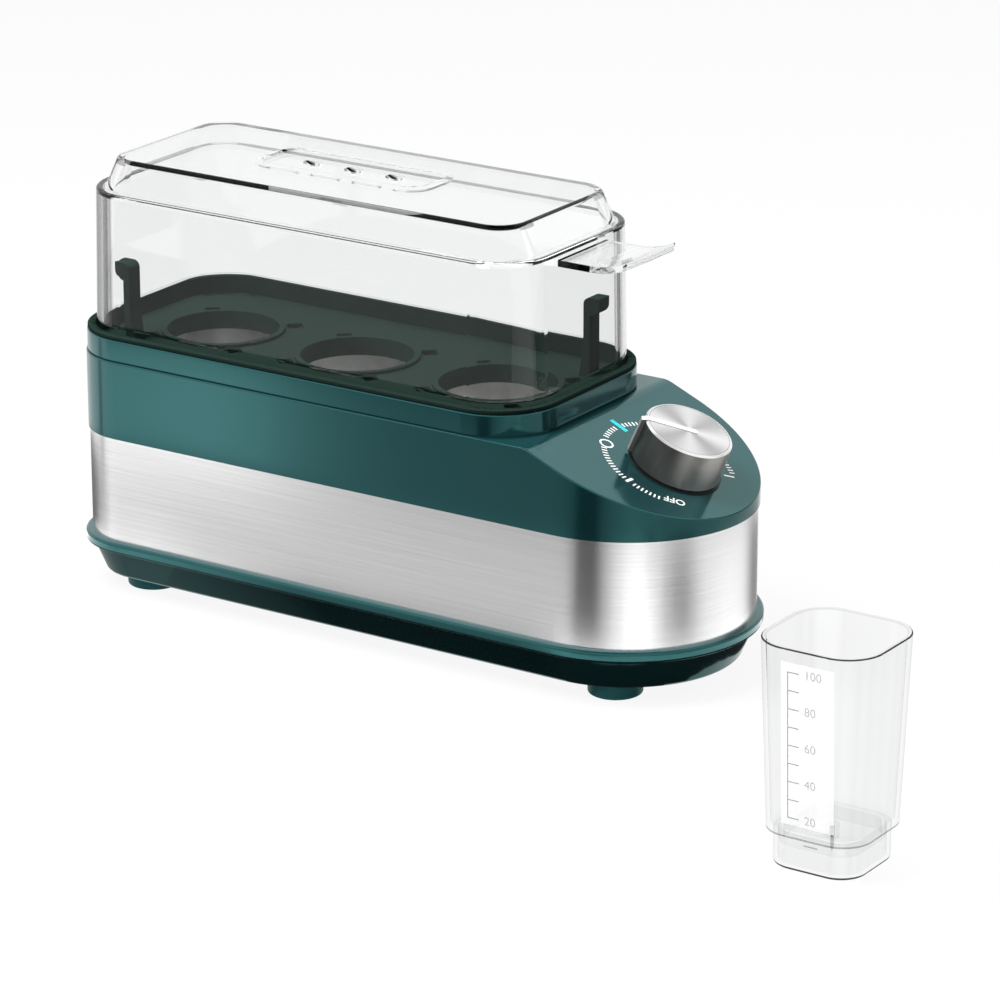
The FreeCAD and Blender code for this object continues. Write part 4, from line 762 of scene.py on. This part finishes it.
class Print:
    """Flat marks gathered on one plane, in millimetres."""

    def __init__(self, plane):
        self.plane = plane
        self.points = []
        self.faces = []

    def face(self, corners):
        """A flat face from its corners."""
        start = len(self.points)
        for u, v in corners:
            self.points.append(self.plane @ Vector((u * MM, v * MM, PRINT_LIFT * MM)))
        self.faces.append(list(range(start, start + len(corners))))

    def bar(self, angle, inner, outer, width):
        """A radial bar."""
        a = math.radians(angle)
        along = Vector((math.cos(a), math.sin(a)))
        across = Vector((-along.y, along.x)) * (width / 2)
        ends = (along * inner, along * outer)
        corners = [ends[0] - across, ends[1] - across, ends[1] + across, ends[0] + across]
        self.face([(c.x, c.y) for c in corners])

    def loop(self, angle, radius, length, width, line):
        """An oval line, its length along the radius."""
        a = math.radians(angle)
        along = Vector((math.cos(a), math.sin(a)))
        across = Vector((-along.y, along.x))
        rings = []
        for shrink in (0.0, line):
            ring = []
            for i in range(OVAL_STEPS):
                t = 2 * math.pi * i / OVAL_STEPS
                out = radius + (length / 2 - shrink) * math.cos(t)
                at = along * out + across * ((width / 2 - shrink) * math.sin(t))
                ring.append((at.x, at.y))
            rings.append(ring)
        for i in range(OVAL_STEPS):
            j = (i + 1) % OVAL_STEPS
            self.face([rings[0][i], rings[0][j], rings[1][j], rings[1][i]])

    def box(self, left, right, bottom, top):
        """A plain rectangle."""
        self.face([(left, bottom), (right, bottom), (right, top), (left, top)])

    def piece(self, name, body, material, slot):
        """The marks as one printed piece."""
        mesh = bpy.data.meshes.new(name)
        mesh.from_pydata(self.points, [], self.faces)
        add_print(name, mesh, body, material)


def text(name, words, height, plane, body, material, align, thicken=0.0):
    """Plain letters or numbers, turned into a mesh on a plane."""
    curve = bpy.data.curves.new(name + "_text", "FONT")
    curve.body = words
    curve.size = height * MM / LETTER_SHARE
    curve.offset = thicken * MM
    curve.align_x = align
    curve.align_y = "CENTER"
    letters = bpy.data.objects.new(name + "_text", curve)
    bpy.context.scene.collection.objects.link(letters)
    mesh = bpy.data.meshes.new_from_object(letters.evaluated_get(bpy.context.evaluated_depsgraph_get()))
    bpy.data.objects.remove(letters)
    mesh.transform(plane @ Matrix.Translation((0.0, 0.0, PRINT_LIFT * MM)))
    mesh.name = name
    add_print(name, mesh, body, material)


def print_dial(white, cyan):
    """Ticks, oval, coloured bar and OFF round the knob."""
    plane = dial_matrix()
    marks = Print(plane @ Matrix.Translation((RING_ALONG * MM, RING_ASIDE * MM, 0.0)))
    kept_clear = ((BOLD_ANGLE, BOLD_ROOM), (OVAL_ANGLE, OVAL_ROOM), (CYAN_CROSSING, CYAN_ROOM))
    angle = TICK_FIRST
    while angle >= TICK_LAST:
        if all(abs(angle - mark) > room for mark, room in kept_clear):
            marks.bar(angle, TICK_INNER, TICK_OUTER, TICK_WIDTH)
        angle -= TICK_STEP
    marks.bar(BOLD_ANGLE, BOLD_INNER, BOLD_OUTER, BOLD_WIDTH)
    marks.bar(END_ANGLE, END_INNER, END_OUTER, END_WIDTH)
    marks.loop(OVAL_ANGLE, OVAL_RADIUS, OVAL_LENGTH, OVAL_WIDTH, OVAL_LINE)
    marks.piece("dial_marks", "base", white, "pointer_white")
    bar = Print(plane)
    bar.bar(CYAN_ANGLE, CYAN_RADIUS - CYAN_LENGTH / 2, CYAN_RADIUS + CYAN_LENGTH / 2, CYAN_WIDTH)
    bar.piece("dial_colour_bar", "base", cyan, "pointer_white")
    a = math.radians(OFF_ANGLE)
    at = Matrix.Translation((OFF_RADIUS * MM * math.cos(a), OFF_RADIUS * MM * math.sin(a), 0.0))
    upright = Matrix.Rotation(a - math.pi / 2, 4, "Z")
    place = plane @ at @ upright
    text("dial_off", "OFF", OFF_HEIGHT, place, "base", white, "CENTER", OFF_THICKEN)


def wall_plane(base, up):
    """A plane for print on a near wall: across, up the wall, and outwards."""
    across = Vector(ACROSS)
    turn = Matrix((across, up, across.cross(up))).transposed().to_4x4()
    return Matrix.Translation(base) @ turn


def cup_plane():
    """The plane of the cup's leaning near face, and the height of its lower edge in millimetres."""
    low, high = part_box("measuring_cup")
    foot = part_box("pin_cap")[1].z
    vertices = [v.co for v in frame["nodes"]["measuring_cup"].data.vertices]
    ledge = min(v.y for v in vertices if abs(v.z - foot) < LEDGE_ROOM * MM)
    lean = math.atan2(ledge - low.y, high.z - foot)
    up = Vector((0.0, -math.sin(lean), math.cos(lean)))
    return wall_plane(Vector(((low.x + high.x) / 2, ledge, foot)), up), foot / MM


def print_cup(frost, grey, pale):
    """The pale scale panel with plain numbers, and the small dash on the cap."""
    plane, foot = cup_plane()
    panel = Print(plane)
    panel.box(PANEL_LEFT, PANEL_RIGHT, PANEL_BOTTOM - foot, PANEL_TOP - foot)
    panel.piece("cup_scale_panel", "cup", frost, "cup_clear")
    raised = plane @ Matrix.Translation((0.0, 0.0, PRINT_LIFT * MM))
    scale = Print(raised)
    scale.box(SCALE_LEFT, SCALE_LEFT + SCALE_LINE, SCALE_BOTTOM - foot, SCALE_TOP - foot)
    for i in range(SCALE_STEPS + 1):
        height = SCALE_BOTTOM + (SCALE_TOP - SCALE_BOTTOM) * i / SCALE_STEPS - foot
        scale.box(SCALE_LEFT, SCALE_LEFT + SCALE_TICK, height - SCALE_LINE / 2, height + SCALE_LINE / 2)
        if i % NUMBER_EVERY == 0:
            number = str(SCALE_FIRST + SCALE_GAIN * i)
            at = raised @ Matrix.Translation((NUMBER_LEFT * MM, height * MM, 0.0))
            text("cup_number_" + number, number, NUMBER_HEIGHT, at, "cup", pale, "LEFT")
    scale.piece("cup_scale", "cup", grey, "cup_clear")
    low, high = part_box("pin_cap")
    dash = Print(wall_plane(Vector(((low.x + high.x) / 2, low.y, 0.0)), Vector(UP)))
    dash.box(DASH_LEFT, DASH_RIGHT, DASH_HEIGHT - DASH_LINE / 2, DASH_HEIGHT + DASH_LINE / 2)
    dash.piece("cap_dash", "pin_cap", grey, "cup_clear")


# Materials on the CAD nodes

def paint(material, *nodes):
    """Give CAD nodes one material."""
    for name in nodes:
        mesh = frame["nodes"][name].data
        mesh.materials.clear()
        mesh.materials.append(material)


def body_finishes():
    """The housing, feet, tray, band and pan."""
    teal = moulding("teal_plastic", TEAL, rough=0.12, gloss=1.0, sheen=TEAL_SHEEN, relief=0.006)
    paint(teal, "upper_housing", "chamber_collar", "base_tub")
    # Painted light: the feet get a much lighter teal than the body so they do not read dark in shade
    rubber = moulding("foot_rubber", FOOT_LIT_TEAL, rough=0.5, gloss=0.3)
    paint(rubber, "foot_front_left", "foot_front_right", "foot_back_left", "foot_back_right")
    tray = moulding("tray_plastic", TRAY_GREEN, rough=0.5, gloss=0.0, relief=0.0, spread=0.02)
    paint(tray, "egg_tray")
    paint(brushed("band_steel", BAND_STEEL, rough=0.22), "steel_band")
    paint(metal("pan_aluminium", PAN_METAL, rough=0.32, scale=300.0), "water_pan")


def inside_finishes():
    """The fasteners, heater, timer, thermostat and leads, the cord's inlet and the piercing pin."""
    fasteners = metal("fastener_steel", STEEL, rough=0.25, scale=900.0)
    paint(fasteners, "base_screws", "collar_screws", "thermostat_nuts", "timer_screws", "terminal_screws")
    paint(fasteners, "piercing_pin")
    sheet = metal("sheet_steel", STEEL, rough=0.35)
    paint(sheet, "thermostat_bracket", "fuse_clip", "heater_element", "timer_shaft")
    paint(metal("brass", BRASS, rough=0.3), "heater_pins", "timer_contacts")
    paint(moulding("ceramic", CERAMIC, rough=0.5), "heater_bushes", "thermal_fuse")
    paint(moulding("timer_plastic", CREAM, rough=0.5), "timer_case", "timer_cam", "terminal_block")
    black = moulding("black_plastic", BLACK, rough=0.45)
    paint(black, "thermostat", "knob_core", "dial_washer", "timer_cover")
    paint(moulding("inlet_rubber", BLACK, rough=0.6, gloss=0.3), "cord_inlet")
    wire = moulding("wire_insulation", WIRE_RED, rough=0.4)
    paint(wire, "lead_supply", "lead_timer", "lead_thermostat", "lead_heater", "lead_return")
    paint(moulding("seal_silicone", SILICONE, rough=0.5), "pan_gasket")


def dial_finishes():
    """The knob, its pointer, and the print round it."""
    paint(spun("knob_metal"), "knob_shell")
    white = ink("pointer_white", WHITE, rough=0.35)
    paint(pointer("pointer_paint"), "knob_pointer")
    print_dial(white, moulding("dial_cyan", CYAN, rough=0.35))


def clear_finishes():
    """The lid, and the cup with its cap, pin holder and print."""
    paint(clear("lid_clear", LID_TONE, LID_INDEX, lid_painted_shade, soft_lid), "lid")
    low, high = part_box("measuring_cup")
    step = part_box("pin_cap")[1].z

    def streaks(tree):
        return cup_painted_shade(tree, (low + high) / 2, step)

    paint(clear("cup_clear", CUP_TONE, CUP_INDEX, streaks), "measuring_cup", "pin_cap", "pin_holder")
    grey = ink("scale_ink", SCALE_GREY, rough=0.5)
    print_cup(frosted("scale_frost"), grey, ink("number_ink", NUMBER_GREY, rough=0.5))


# Studio

def seen_share(tree):
    """1 for camera, glossy and transmission rays, else 0."""
    path = tree.nodes.new("ShaderNodeLightPath")
    share = largest(tree, path.outputs["Is Camera Ray"], path.outputs["Is Glossy Ray"])
    return largest(tree, share, path.outputs["Is Transmission Ray"])


def floor():
    """A plain pale floor that keeps the object's shadow and bounces little light."""
    bpy.ops.mesh.primitive_plane_add(size=FLOOR_SIDE)
    plane = bpy.context.object
    plane.name = "floor"
    made, tree, shader = new_material("floor_white")
    tint(tree, noise(tree, FLOOR_SCALE), [FLOOR_DIFFUSE] * 3, FLOOR_TINT, shader.inputs["Base Color"])
    shader.inputs["Roughness"].default_value = FLOOR_ROUGH
    shader.inputs["Specular IOR Level"].default_value = 0.0
    shader.inputs["Emission Color"].default_value = opaque(FULL_WHITE)
    glow = times(tree, seen_share(tree), FLOOR_GLOW)
    tree.links.new(glow, shader.inputs["Emission Strength"])
    plane.data.materials.append(made)


def world():
    """White round the set, dimmer as a source of light."""
    sky = bpy.data.worlds.new("studio")
    bpy.context.scene.world = sky
    sky.use_nodes = True
    tree = sky.node_tree
    seen = tree.nodes["Background"]
    seen.inputs["Color"].default_value = opaque(FULL_WHITE)
    seen.inputs["Strength"].default_value = 1.0
    fill = tree.nodes.new("ShaderNodeBackground")
    fill.inputs["Color"].default_value = opaque(FULL_WHITE)
    fill.inputs["Strength"].default_value = AMBIENT
    mix = tree.nodes.new("ShaderNodeMixShader")
    tree.links.new(seen_share(tree), mix.inputs["Fac"])
    tree.links.new(fill.outputs["Background"], mix.inputs[1])
    tree.links.new(seen.outputs["Background"], mix.inputs[2])
    tree.links.new(mix.outputs["Shader"], tree.nodes["World Output"].inputs["Surface"])


def area_light(name, place, side, power):
    """A square soft light that does not show in reflections."""
    lamp = bpy.data.lights.new(name, "AREA")
    lamp.size = side
    lamp.energy = power
    light = bpy.data.objects.new(name, lamp)
    light.location = place
    light.rotation_euler = (Vector(LIGHT_AIM) - Vector(place)).to_track_quat("-Z", "Y").to_euler()
    light.visible_glossy = False
    bpy.context.scene.collection.objects.link(light)


def lights():
    """A soft key from the front left, and weak top and back fills."""
    area_light("key", KEY_PLACE, KEY_SIDE, KEY_POWER)
    area_light("top", TOP_PLACE, TOP_SIDE, TOP_POWER)
    area_light("back", BACK_PLACE, BACK_SIDE, BACK_POWER)


def glow_card(name, points, faces, levels, through=False):
    """A flat card that only shows in reflections, or only through clear pieces.

    Points in metres, each with its own brightness.
    """
    mesh = bpy.data.meshes.new(name)
    mesh.from_pydata([Vector(p) for p in points], [], faces)
    level = mesh.attributes.new("level", "FLOAT", "POINT")
    for place, brightness in zip(level.data, levels):
        place.value = brightness
    made, tree = new_material(name)[:2]
    value = tree.nodes.new("ShaderNodeAttribute")
    value.attribute_name = "level"
    glow = tree.nodes.new("ShaderNodeEmission")
    tree.links.new(value.outputs["Fac"], glow.inputs["Strength"])
    tree.links.new(glow.outputs["Emission"], tree.nodes["Material Output"].inputs["Surface"])
    mesh.materials.append(made)
    piece = bpy.data.objects.new(name, mesh)
    piece.visible_camera = False
    piece.visible_diffuse = False
    piece.visible_shadow = False
    piece.visible_glossy = not through
    piece.visible_transmission = through
    bpy.context.scene.collection.objects.link(piece)


def card(name, corners, brightness, through=False):
    """A plain card with one brightness."""
    order = [tuple(range(len(corners)))]
    glow_card(name, corners, order, [brightness] * len(corners), through)


def level_card(name, bounds, height, brightness, through=False):
    """A level card between left, right, near and far bounds."""
    left, right, near, far = bounds
    outline = ((left, near), (right, near), (right, far), (left, far))
    card(name, [(x, y, height) for x, y in outline], brightness, through)


def shades():
    """Dark cards for the lid, knob and panel to reflect, and one seen through the lid's edges."""
    level_card("lid_shade", LID_SHADE, CARD_LIFT, DARK)
    level_card("lid_end_shade", LID_END_SHADE, CARD_LIFT, LID_END_DARK)
    level_card("edge_shade_right", EDGE_SHADE, CARD_LIFT, EDGE_DARK, through=True)
    level_card("overhead_shade", OVERHEAD_SHADE, OVERHEAD_HEIGHT, DARK)
    low_edge = [ASIDE_LEFT + (ASIDE_BOTTOM,), ASIDE_RIGHT + (ASIDE_BOTTOM,)]
    high_edge = [ASIDE_RIGHT + (ASIDE_TOP,), ASIDE_LEFT + (ASIDE_TOP,)]
    card("aside_shade", low_edge + high_edge, DARK)


# Strips of floor that the body's walls reflect

def back_corner(turn):
    """A place on the body's near back corner and its outward direction; degrees from the near side."""
    out = Vector((-math.sin(math.radians(turn)), -math.cos(math.radians(turn)), 0.0))
    centre = Vector((BODY_BACK + BACK_RADIUS, BACK_RADIUS - BODY_HALF_WIDTH, 0.0))
    return centre + out * BACK_RADIUS, out


def near_side(x):
    """A place on the body's near side and its outward direction."""
    return Vector((x, -BODY_HALF_WIDTH, 0.0)), Vector((0.0, -1.0, 0.0))


def nose(turn):
    """A place on the body's nose and its outward direction; degrees from the near side."""
    out = Vector((math.sin(math.radians(turn)), -math.cos(math.radians(turn)), 0.0))
    depth = BODY_FRONT - NOSE_START
    reach = math.hypot(depth * out.x, BODY_HALF_WIDTH * out.y)
    at = Vector((NOSE_START + depth ** 2 * out.x / reach, BODY_HALF_WIDTH ** 2 * out.y / reach, 0.0))
    return at, out


def belt(back, side, front):
    """Stations along the wall from the back corner to the nose, each a place and a brightness."""
    stations = [(back_corner(turn), level) for turn, level in back]
    stations += [(near_side(x), level) for x, level in side]
    stations += [(nose(turn), level) for turn, level in front]
    return stations


def even(turns, level):
    """The same brightness at every turn."""
    return [(turn, level) for turn in turns]


def floor_seen(place, out, height, lean):
    """The floor point that the wall shows in its reflection; the wall leans in by some degrees below."""
    a = math.radians(lean)
    normal = out * math.cos(a) - Vector((0.0, 0.0, math.sin(a)))
    at = place + Vector((0.0, 0.0, height))
    view = (at - EYE).normalized()
    bounce = view - 2 * view.dot(normal) * normal
    return (at - bounce * (at.z / bounce.z)) * MM


def strip(name, stations, low, high, lean=0.0):
    """The floor that a belt of the body's wall reflects, with its own brightness at each station."""
    points = []
    levels = []
    for (place, out), brightness in stations:
        for height in (low, high):
            at = floor_seen(place, out, height, lean)
            points.append((at.x, at.y, STRIP_LIFT))
            levels.append(brightness)
    faces = [(2 * i, 2 * i + 1, 2 * i + 3, 2 * i + 2) for i in range(len(stations) - 1)]
    glow_card(name, points, faces, levels)


def reflections():
    """A strip for each belt of the body: tub, flange, steel band and teal wall."""
    tub_nose = [TUB_NOSE_START] + even(NOSE_TURNS, TUB_NOSE_GLOW)
    tub = belt(even(BACK_TURNS, TUB_BACK_GLOW), TUB_SIDE, tub_nose)
    strip("tub_glow", tub, TUB_GLOW_BOTTOM, TUB_GLOW_TOP, TUB_LEAN)
    strip("tub_far_glow", tub, TUB_FAR_BOTTOM, FLANGE_BOTTOM)
    flange_nose = [FLANGE_NOSE_START] + even(NOSE_TURNS, FLANGE_NOSE_GLOW)
    flange = belt(even(BACK_TURNS, FLANGE_BACK_GLOW), FLANGE_SIDE, flange_nose)
    strip("flange_glow", flange, FLANGE_BOTTOM, FLANGE_TOP)
    strip("band_glow", belt(BAND_BACK, BAND_SIDE, BAND_NOSE), FLANGE_TOP, BAND_TOP)
    strip("teal_glow", belt(TEAL_BACK, TEAL_SIDE, TEAL_NOSE), BAND_TOP, RIM_HEIGHT)


def camera():
    """The photograph's camera."""
    lens = bpy.data.cameras.new("camera")
    lens.lens = LENS
    lens.sensor_width = SENSOR
    lens.clip_start = CLIP_START
    lens.clip_end = CLIP_END
    view = bpy.data.objects.new("camera", lens)
    view.location = EYE * MM
    view.rotation_euler = (TARGET - EYE).to_track_quat("-Z", "Y").to_euler()
    bpy.context.scene.collection.objects.link(view)
    bpy.context.scene.camera = view


bpy.context.scene.view_settings.view_transform = "Standard"
body_finishes()
inside_finishes()
dial_finishes()
clear_finishes()
floor()
world()
lights()
reflections()
shades()
camera()
